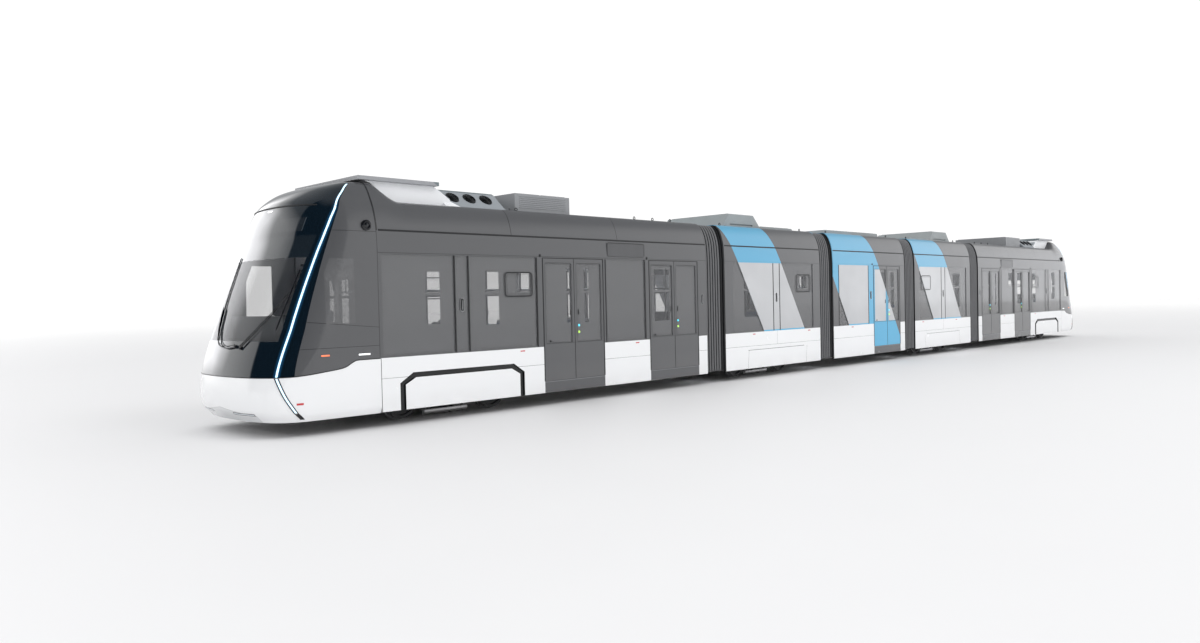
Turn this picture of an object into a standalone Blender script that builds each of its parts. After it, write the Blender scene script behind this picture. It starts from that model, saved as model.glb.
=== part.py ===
"""Five-section low-floor tram at full size, in metres, +X to the front, +Y to the left, +Z up.

The origin is under the middle of the tram, at the level of the wheel flanges' tips. The rear half is
the front half turned about the vertical axis, so the front pieces are modelled and the rear ones share
their meshes.
"""

import math

import bmesh
import bpy
import numpy as np
from mathutils import Matrix, Vector

GAP = 0.0003

HALF_WIDTH = 1.325
WALL = 0.06
SKIRT_BOTTOM = 0.23
SKIRT_TOP = 1.04
SILL_TOP = 0.43
FLOOR_BOTTOM, FLOOR_TOP = 0.27, 0.39
OPENING_TOP = 2.60
ROOF_TOP = 3.42
COWL_TOP = 3.735

CAB_SEAM = 15.0
A_END = 7.11
B_FRONT, B_END = 6.46, 2.59
C_END = 1.94
PIVOT_AB = (A_END + B_FRONT) / 2
PIVOT_BC = (B_END + C_END) / 2

END_BOGIE = 13.43
INNER_BOGIE = 4.52
HALF_WHEELBASE = 0.90
TREAD_RADIUS, FLANGE_RADIUS = 0.30, 0.33
WHEEL_STEPS = 16
AXLE_HEIGHT = FLANGE_RADIUS * math.cos(math.pi / WHEEL_STEPS)
AXLE_RADIUS = 0.05
AXLE_HALF = 1.0 - GAP

GLASS = 0.02
GLASS_BOTTOM = 1.07
RIBBONS = {
    "a": [(11.855, 14.95), (9.06, 10.13)],
    "b": [(2.90, 6.17)],
    "c": [(0.13, 1.66)],
}
WINDOW_HOLES = {
    "a": [(13.66, 14.91), (11.90, 13.29), (9.10, 10.09)],
    "b": [(4.66, 6.13), (2.94, 4.30)],
    "c": [(0.17, 1.62)],
}
DOORWAYS = {"a": [(10.216, 11.725), (7.40, 8.925)], "b": [], "c": [(-1.66, -0.15)]}
HOLE_BOTTOM, HOLE_TOP = 1.15, 2.56

TURNED_BACK = Matrix.Rotation(math.pi, 4, "Z")
PLANES = {
    "YZ": (Vector((1, 0, 0)), Matrix(((0, 0, 1, 0), (1, 0, 0, 0), (0, 1, 0, 0), (0, 0, 0, 1)))),
    "XZ": (Vector((0, 1, 0)), Matrix(((1, 0, 0, 0), (0, 0, -1, 0), (0, 1, 0, 0), (0, 0, 0, 1)))),
    "XY": (Vector((0, 0, 1)), Matrix.Identity(4)),
}

for old in list(bpy.data.objects):
    bpy.data.objects.remove(old, do_unlink=True)
tram = bpy.data.collections.new("tram")
helpers = bpy.data.collections.new("cutters_and_joined_shapes")
for collection in (tram, helpers):
    bpy.context.scene.collection.children.link(collection)


def material(name, colour, roughness, metallic=0.0, alpha=1.0):
    made = bpy.data.materials.new(name)
    made.use_nodes = True
    shader = made.node_tree.nodes["Principled BSDF"]
    shader.inputs["Base Color"].default_value = (*colour, 1.0)
    shader.inputs["Roughness"].default_value = roughness
    shader.inputs["Metallic"].default_value = metallic
    shader.inputs["Alpha"].default_value = alpha
    made.diffuse_color = (*colour, alpha)
    return made


PAINT = {
    "grey_body": material("grey_body", (0.145, 0.148, 0.158), 0.38),
    "white_skirt": material("white_skirt", (0.86, 0.88, 0.92), 0.30),
    "dark_glass": material("dark_glass", (0.05, 0.055, 0.06), 0.06, alpha=0.55),
    "door_grey": material("door_grey", (0.16, 0.165, 0.175), 0.35),
    "bellows_rubber": material("bellows_rubber", (0.03, 0.03, 0.033), 0.75),
    "roof_blue_grey": material("roof_blue_grey", (0.22, 0.25, 0.28), 0.45),
    "bogie_steel": material("bogie_steel", (0.045, 0.045, 0.05), 0.55, 0.3),
    "wheel_steel": material("wheel_steel", (0.32, 0.31, 0.30), 0.35, 0.9),
}


def mesh_object(name, bm, matrix=None, collection=helpers):
    """An object of the bmesh, faces turned outwards; a helper unless another collection is given."""
    bmesh.ops.recalc_face_normals(bm, faces=bm.faces)
    mesh = bpy.data.meshes.new(name)
    bm.to_mesh(mesh)
    bm.free()
    made = bpy.data.objects.new(name, mesh)
    made.matrix_world = matrix or Matrix.Identity(4)
    collection.objects.link(made)
    if collection is helpers:
        made.hide_render = True
        made.display_type = "WIRE"
    return made


def boxes(name, corners):
    """One object of separate boxes, each given by its lowest and highest corner."""
    bm = bmesh.new()
    for low, high in corners:
        low, high = Vector(low), Vector(high)
        size = Matrix.Diagonal((*(high - low), 1.0))
        bmesh.ops.create_cube(bm, size=1.0, matrix=Matrix.Translation((low + high) / 2) @ size)
    return mesh_object(name, bm)


def both_sides(corners):
    """The boxes, and the same boxes on the right side."""
    return corners + [((x0, -y1, z0), (x1, -y0, z1)) for (x0, y0, z0), (x1, y1, z1) in corners]


def rods(name, ends, radius, steps=16):
    """One object of separate cylinders, each between two points."""
    bm = bmesh.new()
    for start, end in ends:
        start, end = Vector(start), Vector(end)
        turn = (end - start).to_track_quat("Z", "Y").to_matrix().to_4x4()
        bmesh.ops.create_cone(
            bm, cap_ends=True, segments=steps, radius1=radius, radius2=radius,
            depth=(end - start).length, matrix=Matrix.Translation((start + end) / 2) @ turn,
        )
    return mesh_object(name, bm)


def outline(name, loops, low, high, plane):
    """A flat outline in the plane, thick from low to high across it. Loops after the first are holes."""
    curve = bpy.data.curves.new(name, "CURVE")
    curve.dimensions = "2D"
    curve.fill_mode = "BOTH"
    curve.extrude = (high - low) / 2
    for loop in loops:
        spline = curve.splines.new("POLY")
        spline.points.add(len(loop) - 1)
        for point, (a, b) in zip(spline.points, loop):
            point.co = (a, b, 0, 1)
        spline.use_cyclic_u = True
    drawn = bpy.data.objects.new(name, curve)
    helpers.objects.link(drawn)
    across, turn = PLANES[plane]
    drawn.matrix_world = Matrix.Translation(across * (low + high) / 2) @ turn
    bpy.context.view_layer.update()
    evaluated = drawn.evaluated_get(bpy.context.evaluated_depsgraph_get())
    mesh = bpy.data.meshes.new_from_object(evaluated)
    bm = bmesh.new()
    bm.from_mesh(mesh)
    bmesh.ops.remove_doubles(bm, verts=bm.verts, dist=1e-5)
    matrix = drawn.matrix_world.copy()
    bpy.data.meshes.remove(mesh)
    bpy.data.objects.remove(drawn)
    return mesh_object(name, bm, matrix)


def gathered(name, pieces):
    """Helpers that don't touch each other, as one helper."""
    bm = bmesh.new()
    for piece in pieces:
        start = len(bm.verts)
        bm.from_mesh(piece.data)
        bm.verts.ensure_lookup_table()
        bmesh.ops.transform(bm, matrix=piece.matrix_world, verts=bm.verts[start:])
        bpy.data.objects.remove(piece, do_unlink=True)
    return mesh_object(name, bm)


def arc(centre, radius, start, end, steps):
    """Points on an arc, from the start to the end angle in degrees."""
    angles = np.radians(np.linspace(start, end, steps + 1))
    return [(centre[0] + radius * math.cos(a), centre[1] + radius * math.sin(a)) for a in angles]


def finished(name, base, paint, joined=(), cut=()):
    """The base with the helpers joined to it and then those to cut taken away, as a piece of the tram."""
    for operation, others in (("UNION", joined), ("DIFFERENCE", cut)):
        for other in others:
            modifier = base.modifiers.new(operation.lower(), "BOOLEAN")
            modifier.operation = operation
            modifier.solver = "EXACT"
            modifier.object = other
    bpy.context.view_layer.update()
    evaluated = base.evaluated_get(bpy.context.evaluated_depsgraph_get())
    mesh = bpy.data.meshes.new_from_object(evaluated)
    mesh.name = name
    mesh.materials.clear()
    mesh.materials.append(PAINT[paint])
    made = bpy.data.objects.new(name, mesh)
    made.matrix_world = base.matrix_world.copy()
    tram.objects.link(made)
    bpy.data.objects.remove(base, do_unlink=True)
    return made


def rounded(made, angle=35):
    """Shaded smooth, with edges sharper than the angle kept."""
    made.data.shade_smooth()
    made.data.set_sharp_from_angle(angle=math.radians(angle))
    return made


def turned_back(made, name):
    """The same piece at the rear end."""
    copy = bpy.data.objects.new(name, made.data)
    copy.matrix_world = TURNED_BACK @ made.matrix_world
    tram.objects.link(copy)
    return copy


def mirrored(made, name):
    """The same piece on the right side."""
    bm = bmesh.new()
    bm.from_mesh(made.data)
    bmesh.ops.transform(bm, matrix=made.matrix_world, verts=bm.verts)
    bmesh.ops.transform(bm, matrix=Matrix.Diagonal((1, -1, 1, 1)), verts=bm.verts)
    copy = mesh_object(name, bm, collection=tram)
    copy.data.materials.append(made.data.materials[0])
    return copy


# Body sections: an arched wall over a trough-shaped underframe

SHOULDER = np.array([
    (HALF_WIDTH, SKIRT_TOP + GAP), (HALF_WIDTH, 2.63), (1.305, 2.96), (1.245, 3.20),
    (1.15, 3.36), (1.05, ROOF_TOP), (0.93, ROOF_TOP), (0.60, ROOF_TOP),
])
COWL_SHOULDER = np.array([
    (HALF_WIDTH, SKIRT_TOP + GAP), (HALF_WIDTH, 2.63), (1.305, 2.96), (1.245, 3.23),
    (1.13, 3.48), (1.03, 3.63), (0.93, 3.70), (0.60, 3.725),
])
INNER_SHOULDER = [
    (1.265, SKIRT_TOP + GAP), (1.265, 2.60), (1.245, 2.93), (1.19, 3.14), (1.10, 3.30), (1.00, 3.36),
]
COWL_DIP_FRONT, COWL_DIP_END = 14.93, 14.43


def arch_loop(cowl):
    """The wall's closed outline, with the outer shoulder between plain (0) and raised as by the cab (1)."""
    outer = SHOULDER + cowl * (COWL_SHOULDER - SHOULDER)
    left = [tuple(point) for point in outer]
    right = [(-y, z) for y, z in reversed(left)]
    inner_left = list(reversed(INNER_SHOULDER))
    inner_right = [(-y, z) for y, z in INNER_SHOULDER]
    return left + right + inner_right + inner_left


def lofted(name, stations):
    """A solid through closed outlines of like count, each at its own x."""
    bm = bmesh.new()
    rings = [[bm.verts.new((x, y, z)) for y, z in loop] for x, loop in stations]
    for first, second in zip(rings, rings[1:]):
        for i in range(len(first)):
            j = (i + 1) % len(first)
            bm.faces.new((first[i], first[j], second[j], second[i]))
    bm.faces.new(rings[0])
    bm.faces.new(rings[-1])
    return mesh_object(name, bm)


def dip(x):
    """How far the shoulder is raised at x: 1 by the cab, 0 behind the dip, with a smooth fall between."""
    s = min(max((x - COWL_DIP_END) / (COWL_DIP_FRONT - COWL_DIP_END), 0.0), 1.0)
    return s * s * (3 - 2 * s)


DIP_STATIONS = [COWL_DIP_END + (COWL_DIP_FRONT - COWL_DIP_END) * i / 6 for i in range(7)]


def body_shell(letter, low, high):
    """Side walls and roof of one section, with rebates for the flush glass and holes behind it."""
    stations = [low] + (DIP_STATIONS if letter == "a" else []) + [high]
    base = lofted("shell", [(x, arch_loop(dip(x))) for x in stations])
    rebates = [
        ((x0, HALF_WIDTH - GLASS - GAP, GLASS_BOTTOM), (x1, HALF_WIDTH + 0.1, OPENING_TOP))
        for x0, x1 in RIBBONS[letter]
    ]
    holes = [((x0, 1.1, HOLE_BOTTOM), (x1, 1.4, HOLE_TOP)) for x0, x1 in WINDOW_HOLES[letter]]
    holes += [((x0, 1.1, 0.9), (x1, 1.4, OPENING_TOP)) for x0, x1 in DOORWAYS[letter]]
    return finished(
        "shell_" + letter, base, "grey_body",
        cut=[boxes("glass_rebates", both_sides(rebates)), boxes("window_holes", both_sides(holes))],
    )


FORK_RADIUS, FORK_HALF, PIN_RADIUS = 0.30, 0.28, 0.05
TONGUE_LEVELS = (0.30, 0.34)
FORK_LEVELS = ((0.275, 0.2995), (0.3405, 0.385))


def gangway_plate(name, pivot, root, levels, hole):
    """A flat plate from a section's end to the pivot, with a round end and a hole for the pin."""
    side = 1 if root > pivot else -1
    lean = math.degrees(math.asin(FORK_HALF / FORK_RADIUS))
    ring = [(pivot + side * x, y) for x, y in arc((0, 0), FORK_RADIUS, lean, 360 - lean, 14)]
    loops = [[(root, ring[0][1])] + ring + [(root, ring[-1][1])]]
    if hole:
        loops.append(arc((pivot, 0), hole, 0, 330, 11))
    return outline(name, loops, *levels, "XY")


def tongue(pivot, root):
    return [gangway_plate("tongue", pivot, root, TONGUE_LEVELS, PIN_RADIUS + 0.005)]


def fork(pivot, root):
    """Plates above and below the tongue, and the pin through it."""
    plates = [gangway_plate("fork_plate", pivot, root, levels, 0) for levels in FORK_LEVELS]
    pin = rods("pin", [((pivot, 0, 0.285), (pivot, 0, 0.375))], PIN_RADIUS, 12)
    return plates + [pin]


PAN_HALF, BOX_TOP, BOX_UNDER = 1.41, 0.78, 0.72
AISLE_HALF, AISLE_TOP, AISLE_UNDER = 0.50, 0.52, 0.46


def bogie_pan(centre):
    """The raised floor with a wheel box on each side, and the room for the bogie below it."""
    raised = [
        (-1.29, 0.30), (1.29, 0.30), (1.29, BOX_TOP), (AISLE_HALF, BOX_TOP), (AISLE_HALF, AISLE_TOP),
        (-AISLE_HALF, AISLE_TOP), (-AISLE_HALF, BOX_TOP), (-1.29, BOX_TOP),
    ]
    wall = AISLE_HALF + WALL
    room = [
        (-1.262, 0.1), (1.262, 0.1), (1.262, BOX_UNDER), (wall, BOX_UNDER), (wall, AISLE_UNDER),
        (-wall, AISLE_UNDER), (-wall, BOX_UNDER), (-1.262, BOX_UNDER),
    ]
    inner = PAN_HALF - WALL
    return (
        outline("wheel_boxes", [raised], centre - PAN_HALF, centre + PAN_HALF, "YZ"),
        outline("bogie_room", [room], centre - inner, centre + inner, "YZ"),
    )


def bench(x, facing, floor):
    """A seat from its back at x: a pedestal, a cushion and a back, as one outline along the tram."""
    seat = floor + (0.10 if floor > 0.6 else 0.45)
    shape = [
        (0.10, floor - 0.02), (0.06, seat - 0.10), (0.0, seat - 0.08), (-0.03, seat + 0.62),
        (0.03, seat + 0.64), (0.09, seat), (0.47, seat), (0.47, seat - 0.09), (0.36, seat - 0.10),
        (0.32, floor - 0.02),
    ]
    loop = [(x + facing * a, b) for a, b in shape]
    return [outline("bench", [loop], low, low + 0.66, "XZ") for low in (-1.22, 0.56)]


def benches(pairs, floor):
    made = []
    for x, facing in pairs:
        made += bench(x, facing, floor)
    return made


def bogie_benches(centre):
    return benches([(centre - 1.33, 1), (centre - 0.06, -1), (centre + 0.06, 1), (centre + 1.33, -1)], BOX_TOP)


ARCH_BAND = 0.09
ARCH_DEPTH = 0.03


def arch_groove(side):
    """The open joint round the bogie's cover: a band with cut corners, sunk into one skirt."""
    outer = [(12.19, 0.1), (12.19, 0.64), (12.42, 0.79), (14.43, 0.79), (14.67, 0.64), (14.67, 0.1)]
    inner = [(14.57, 0.1), (14.57, 0.61), (14.38, 0.71), (12.47, 0.71), (12.29, 0.61), (12.29, 0.1)]
    low, high = sorted((side * (HALF_WIDTH - ARCH_DEPTH), side * (HALF_WIDTH + 0.1)))
    return outline("arch_groove", [outer + inner], low, high, "XZ")


def trough(low, high):
    """Floor slab and skirts of one section."""
    half = [
        (HALF_WIDTH, SKIRT_BOTTOM), (HALF_WIDTH, SKIRT_TOP), (HALF_WIDTH - WALL, SKIRT_TOP),
        (HALF_WIDTH - WALL, FLOOR_TOP),
    ]
    under = [(HALF_WIDTH - WALL, FLOOR_BOTTOM), (HALF_WIDTH - WALL, SKIRT_BOTTOM)]
    loop = half + [(-y, z) for y, z in reversed(half)] + [(-y, z) for y, z in reversed(under)] + under
    return outline("trough", [loop], low, high, "YZ")


def doorway_cuts(letter):
    cuts = [((x0, 1.2, SILL_TOP), (x1, 1.4, 1.2)) for x0, x1 in DOORWAYS[letter]]
    return [boxes("doorways", both_sides(cuts))] if cuts else []


def cab_fittings():
    """Cab floor, driver's desk and seat, and the partition behind them."""
    desk = [
        (15.95, 0.33), (15.95, 1.12), (15.72, 1.18), (15.70, 1.24), (16.04, 1.66), (16.28, 1.70), (16.28, 0.33),
    ]
    seat = [
        (15.28, 0.33), (15.28, 0.85), (15.12, 0.87), (15.03, 1.55), (15.13, 1.57), (15.24, 0.99),
        (15.62, 0.97), (15.62, 0.86), (15.44, 0.85), (15.44, 0.33),
    ]
    floor = boxes("cab_floor", [((CAB_SEAM - 0.1, -1.0, 0.275), (16.3, 1.0, 0.385))])
    wall = [(-1.24, 0.34), (1.24, 0.34), (1.24, 2.52), (-1.24, 2.52)]
    pane = [(-1.05, 1.30), (-0.15, 1.30), (-0.15, 2.25), (-1.05, 2.25)]
    doorway = [(0.0, 0.60), (0.62, 0.60), (0.62, 2.25), (0.0, 2.25)]
    return [
        floor,
        outline("desk", [desk], -0.85, 0.85, "XZ"),
        outline("driver_seat", [seat], -0.26, 0.26, "XZ"),
        outline("partition", [wall, pane, doorway], 14.86, 14.92, "YZ"),
    ]


def underframe_a():
    pan, room = bogie_pan(END_BOGIE)
    low_seats = benches([(9.13, 1), (10.06, -1)], FLOOR_TOP)
    return finished(
        "underframe_a", trough(A_END, CAB_SEAM - GAP), "white_skirt",
        joined=[pan] + cab_fittings() + tongue(PIVOT_AB, A_END + 0.03)
        + [gathered("benches", bogie_benches(END_BOGIE) + low_seats)],
        cut=[room, arch_groove(1), arch_groove(-1)] + doorway_cuts("a"),
    )


def underframe_b():
    pan, room = bogie_pan(INNER_BOGIE)
    return finished(
        "underframe_b", trough(B_END, B_FRONT), "white_skirt",
        joined=[pan] + tongue(PIVOT_BC, B_END + 0.03) + fork(PIVOT_AB, B_FRONT - 0.03)
        + [gathered("benches", bogie_benches(INNER_BOGIE))],
        cut=[room],
    )


def underframe_c():
    seats = benches([(0.20, 1), (1.60, -1)], FLOOR_TOP)
    return finished(
        "underframe_c", trough(-C_END, C_END), "white_skirt",
        joined=fork(PIVOT_BC, C_END - 0.03) + fork(-PIVOT_BC, 0.03 - C_END) + [gathered("benches", seats)],
        cut=doorway_cuts("c"),
    )


def glazing(letter, index, low, high):
    """Flush bonded glass of one side, between the doorways."""
    pane = boxes("pane", [(
        (low + GAP, HALF_WIDTH - GLASS, GLASS_BOTTOM + GAP), (high - GAP, HALF_WIDTH, OPENING_TOP - GAP),
    )])
    return finished(f"glazing_{letter}{index}_left", pane, "dark_glass")


DOOR_PLAY, LEAF = 0.003, 0.04
STILE, DOOR_GLASS_BOTTOM, DOOR_GLASS_TOP = 0.07, 1.10, 2.50
BEAM = (2.47, 2.59)


def doors(letter):
    """The leaves of one side's doorways, hung from the beam that drives them above."""
    leaves = []
    for low, high in DOORWAYS[letter]:
        middle = (low + high) / 2
        for x0, x1 in ((low + DOOR_PLAY, middle - DOOR_PLAY / 2), (middle + DOOR_PLAY / 2, high - DOOR_PLAY)):
            leaf = [(x0, SILL_TOP + DOOR_PLAY), (x1, SILL_TOP + DOOR_PLAY), (x1, 2.597), (x0, 2.597)]
            pane = [
                (x0 + STILE, DOOR_GLASS_BOTTOM), (x1 - STILE, DOOR_GLASS_BOTTOM),
                (x1 - STILE, DOOR_GLASS_TOP), (x0 + STILE, DOOR_GLASS_TOP),
            ]
            leaves.append(outline("leaf", [leaf, pane], HALF_WIDTH - LEAF, HALF_WIDTH, "XZ"))
    ends = [x for doorway in DOORWAYS[letter] for x in doorway]
    beam = boxes("beam", [((min(ends) - 0.02, 1.15, BEAM[0]), (max(ends) + 0.02, HALF_WIDTH - WALL - GAP, BEAM[1]))])
    hangers = [
        ((middle - 0.2, 1.2, 2.515), (middle + 0.2, 1.3, 2.58))
        for low, high in DOORWAYS[letter]
        for middle in (low * 0.75 + high * 0.25, low * 0.25 + high * 0.75)
    ]
    return finished(
        f"doors_{letter}_left", beam, "door_grey",
        joined=[boxes("hangers", hangers), gathered("leaves", leaves)],
    )


BELLOWS_INSET, FOLD_DEPTH, FOLDS = 0.025, 0.05, 5


def bellows(name, low, high):
    """A folded hood over the gap between two sections, open below."""
    outer = [(HALF_WIDTH, 0.26), (HALF_WIDTH, 2.63), (1.305, 2.96), (1.15, 3.36), (1.02, ROOF_TOP)]
    stations = []
    for step in range(2 * FOLDS + 1):
        x = low + GAP + (high - low - 2 * GAP) * step / (2 * FOLDS)
        sunk = BELLOWS_INSET + (FOLD_DEPTH if step % 2 else 0.0)
        loops = []
        for inset in (sunk, sunk + 0.035):
            scale_y = (HALF_WIDTH - inset) / HALF_WIDTH
            side = [(y * scale_y, min(z, z - inset + 0.025)) for y, z in outer]
            side[0] = (side[0][0], 0.26)
            loops.append(side)
        left, inner = loops
        loop = left + [(-y, z) for y, z in reversed(left)] + [(-y, z) for y, z in inner] + list(reversed(inner))
        stations.append((x, loop))
    return finished(name, lofted("folds", stations), "bellows_rubber")


# Cab: horizontal slices between a raked nose and the section's own outline

NOSE_LINE = [
    (0.22, 16.72), (0.40, 16.86), (0.60, 16.90), (0.86, 16.87), (1.51, 16.68), (2.78, 16.20),
    (3.34, 15.98), (3.55, 15.75), (3.68, 15.45), (3.72, 15.18), (COWL_TOP, CAB_SEAM),
]
HALF_WIDTHS = [
    (0.22, 1.295), (0.33, HALF_WIDTH), (2.63, HALF_WIDTH), (2.96, 1.305), (3.23, 1.245), (3.48, 1.13),
    (3.63, 1.03), (3.70, 0.93), (3.725, 0.60), (COWL_TOP, 0.0),
]
CORNER_POWERS = [(0.86, 9.2), (1.51, 7.1), (2.78, 5.1), (3.29, 4.3), (COWL_TOP, 3.4)]
WIDTH_POWER = 2.3
FRONT_STEPS = (0.0, 0.25, 0.5, 0.7, 0.83, 0.906, 0.96)
SIDE_STEPS = (0.85, 0.668, 0.474, 0.341, 0.0)
SPLIT_FRONT, SPLIT_SIDE = 0.86, SKIRT_TOP
SPLIT_HEIGHTS = (SPLIT_FRONT,) * len(FRONT_STEPS) + (0.875, 0.90, 0.93, SPLIT_SIDE, SPLIT_SIDE)
BAND_BOTTOM, BAND_TOP = 1.28, 2.93


def read(table, z):
    heights, values = zip(*table)
    return float(np.interp(z, heights, values))


def shrunk(size, inset):
    return size * (1 - inset / max(size, 0.6))


def slice_point(column, z, inset):
    """Where a column of the nose's left half is at height z: on a rounded outline whose two powers set
    how square its corner is. The front columns are spaced by width, the side ones by length."""
    power = read(CORNER_POWERS, z)
    length = shrunk(read(NOSE_LINE, z) - CAB_SEAM, inset)
    width = shrunk(read(HALF_WIDTHS, z), inset)
    if column < len(FRONT_STEPS):
        across = FRONT_STEPS[column]
        along = (1 - across**WIDTH_POWER) ** (1 / power)
    else:
        last = (1 - FRONT_STEPS[-1] ** WIDTH_POWER) ** (1 / power)
        along = last * SIDE_STEPS[column - len(FRONT_STEPS)]
        across = (1 - along**power) ** (1 / WIDTH_POWER)
    return CAB_SEAM + length * along, width * across


def nose_row(heights, inset, drop=0.0):
    """One row of points round the nose from right to left, drop metres under the heights it is read at."""
    left = []
    for column, z in enumerate(heights):
        x, y = slice_point(column, z, inset)
        left.append((x, y, z - drop))
    right = [(x, -y, z) for x, y, z in reversed(left[1:])]
    return right + left


def level(z):
    return [z] * (len(FRONT_STEPS) + len(SIDE_STEPS))


def walled(name, outer, inner):
    """The closed wall between two surfaces of points, row by row."""
    bm = bmesh.new()
    sides = [[[bm.verts.new(point) for point in row] for row in rows] for rows in (outer, inner)]
    last = len(sides[0][0]) - 1
    for rows in sides:
        for lower, upper in zip(rows, rows[1:]):
            for i in range(last):
                bm.faces.new((lower[i], lower[i + 1], upper[i + 1], upper[i]))
    first, second = sides
    for row in (0, -1):
        for i in range(last):
            bm.faces.new((first[row][i], first[row][i + 1], second[row][i + 1], second[row][i]))
    for column in (0, last):
        for r in range(len(outer) - 1):
            bm.faces.new((first[r][column], first[r + 1][column], second[r + 1][column], second[r][column]))
    bmesh.ops.remove_doubles(bm, verts=bm.verts, dist=1e-5)
    bmesh.ops.dissolve_degenerate(bm, edges=bm.edges, dist=1e-5)
    return mesh_object(name, bm)


GLASS_SEAT = GLASS + 0.002
ROOF_THICK = 0.06


def cab_rows():
    """Heights of the cab shell's rows, with how far the outer wall is sunk for the glass band."""
    return [
        (list(SPLIT_HEIGHTS), 0.0), (level(1.16), 0.0), (level(BAND_BOTTOM), 0.0),
        (level(BAND_BOTTOM), GLASS_SEAT), (level(1.85), GLASS_SEAT), (level(2.45), GLASS_SEAT),
        (level(BAND_TOP), GLASS_SEAT), (level(BAND_TOP), 0.0), (level(3.14), 0.0), (level(3.34), 0.0),
        (level(3.52), 0.0), (level(3.64), 0.0), (level(3.70), 0.0), (level(3.725), 0.0),
        (level(COWL_TOP), 0.0),
    ]


def cab_shell():
    """Mask, sides and domed roof of the cab, with openings behind the wrap-round glass."""
    outer, inner = [], []
    for heights, inset in cab_rows():
        outer.append(nose_row(heights, inset))
        rise = min(max((heights[0] - 2.9) / 0.7, 0.0), 1.0)
        inner.append(nose_row(heights, WALL, ROOF_THICK * rise))
    for rows in (outer, inner):
        for row in rows:
            for i in (0, -1):
                row[i] = (CAB_SEAM, row[i][1], row[i][2])
    front = [(-1.02, 1.36), (1.02, 1.36), (1.04, 1.50), (0.98, 2.74), (0.90, 2.82), (-0.90, 2.82), (-0.98, 2.74), (-1.04, 1.50)]
    side = [(15.12, 1.55), (15.12, 2.80), (15.60, 2.80), (15.86, 1.90), (15.95, 1.55)]
    pods = rods("camera_pods", [((15.17, s * 1.25, 3.02), (15.17, s * 1.34, 3.02)) for s in (-1, 1)], 0.075, 14)
    return rounded(finished(
        "cab_shell_front", walled("cab", outer, inner), "grey_body", joined=[pods],
        cut=[
            outline("windscreen_hole", [front], 15.75, 17.0, "YZ"),
            outline("side_hole_left", [side], 1.0, 1.4, "XZ"),
            outline("side_hole_right", [side], -1.4, -1.0, "XZ"),
        ],
    ), 40)


def windscreen():
    """One wrap-round band of glass: windscreen and cab side windows."""
    heights = [BAND_BOTTOM + GAP, 1.85, 2.45, BAND_TOP - GAP]
    outer = [nose_row(level(z), 0.0) for z in heights]
    inner = [nose_row(level(z), GLASS) for z in heights]
    return rounded(finished("windscreen_front", walled("screen", outer, inner), "dark_glass"), 40)


def bumper():
    """The white lower front and its sides back to the cab seam, open below, with lamp recesses."""
    heights = [level(0.22), level(0.33), level(0.47), level(0.62)]
    heights.append([z - GAP for z in SPLIT_HEIGHTS])
    outer = [nose_row(row, 0.0) for row in heights]
    inner = [nose_row(row, WALL) for row in heights]
    lamps = [((16.765, 0.62, 0.27), (17.0, 1.05, 0.38)), ((16.765, -1.05, 0.27), (17.0, -0.62, 0.38))]
    return rounded(finished(
        "bumper_front", walled("bumper", outer, inner), "white_skirt", cut=[boxes("lamp_recesses", lamps)],
    ), 40)


# Roof units

FAN_SPOTS = (12.52, 12.87, 13.22)
FAN_RADIUS = 0.115


def roof_equipment():
    """Thin deck over a fairing, a fan unit with sloping sides and a plain box, on common rails."""
    floor = ROOF_TOP + GAP
    fairing = [(x, ROOF_TOP + (COWL_TOP - ROOF_TOP) * dip(x) + 2 * GAP) for x in DIP_STATIONS]
    fairing += [(14.93, 3.76), (13.72, 3.76), (13.36, 3.56), (13.36, floor)]
    unit = [(-0.98, floor + 0.01), (0.98, floor + 0.01), (0.90, 3.50), (0.66, 3.71), (0.60, 3.74), (-0.60, 3.74), (-0.66, 3.71), (-0.90, 3.50)]
    base = boxes("rails", [((10.60, -0.75, floor), (13.45, -0.55, floor + 0.08))])
    other_rail = boxes("rail", [((10.60, 0.55, floor), (13.45, 0.75, floor + 0.08))])
    fans = []
    for side in (-1, 1):
        slope = Vector((0, side * 0.21, 0.24)).normalized()
        for x in FAN_SPOTS:
            centre = Vector((x, side * 0.80, 3.597))
            fans.append((centre - slope * 0.05, centre + slope * 0.1))
    return finished(
        "roof_equipment_front", base, "roof_blue_grey",
        joined=[
            outline("fan_unit", [unit], 12.24, 13.49, "YZ"),
            other_rail,
            outline("fairing", [fairing], -0.91, 0.91, "XZ"),
            boxes("deck", [((13.63, -1.0, 3.7403), (15.10, 1.0, 3.80))]),
            boxes("plain_box", [((10.64, -0.90, floor + 0.01), (11.96, 0.90, 3.75))]),
        ],
        cut=[rods("fan_throats", fans, FAN_RADIUS, 16)],
    )


def roof_box():
    """Gas store cover with sloping ends, and the low cover behind it."""
    floor = ROOF_TOP + GAP
    side = [
        (3.10, floor), (3.14, 3.48), (4.40, 3.48), (4.50, 3.46), (4.76, 3.72), (5.68, 3.72), (5.945, floor),
    ]
    slots = both_sides([((4.78, 0.86, 3.47), (5.66, 1.0, 3.50))])
    return finished(
        "roof_box_b", outline("roof_box", [side], -0.90, 0.90, "XZ"), "roof_blue_grey",
        cut=[boxes("slots", slots)],
    )


def roof_cover():
    floor = ROOF_TOP + GAP
    shape = [(-1.45, floor), (-1.38, 3.53), (1.38, 3.53), (1.45, floor)]
    return finished("roof_cover_c", outline("cover", [shape], -0.80, 0.80, "XZ"), "roof_blue_grey")


# Running gear

BEAM_INNER, BEAM_OUTER = 0.93, 1.07
BEAM_HALF, TRANSOM_HALF = 1.16, 0.42
FRAME_LEVELS = (0.235, 0.43)
POST_RADIUS = 0.13


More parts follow.
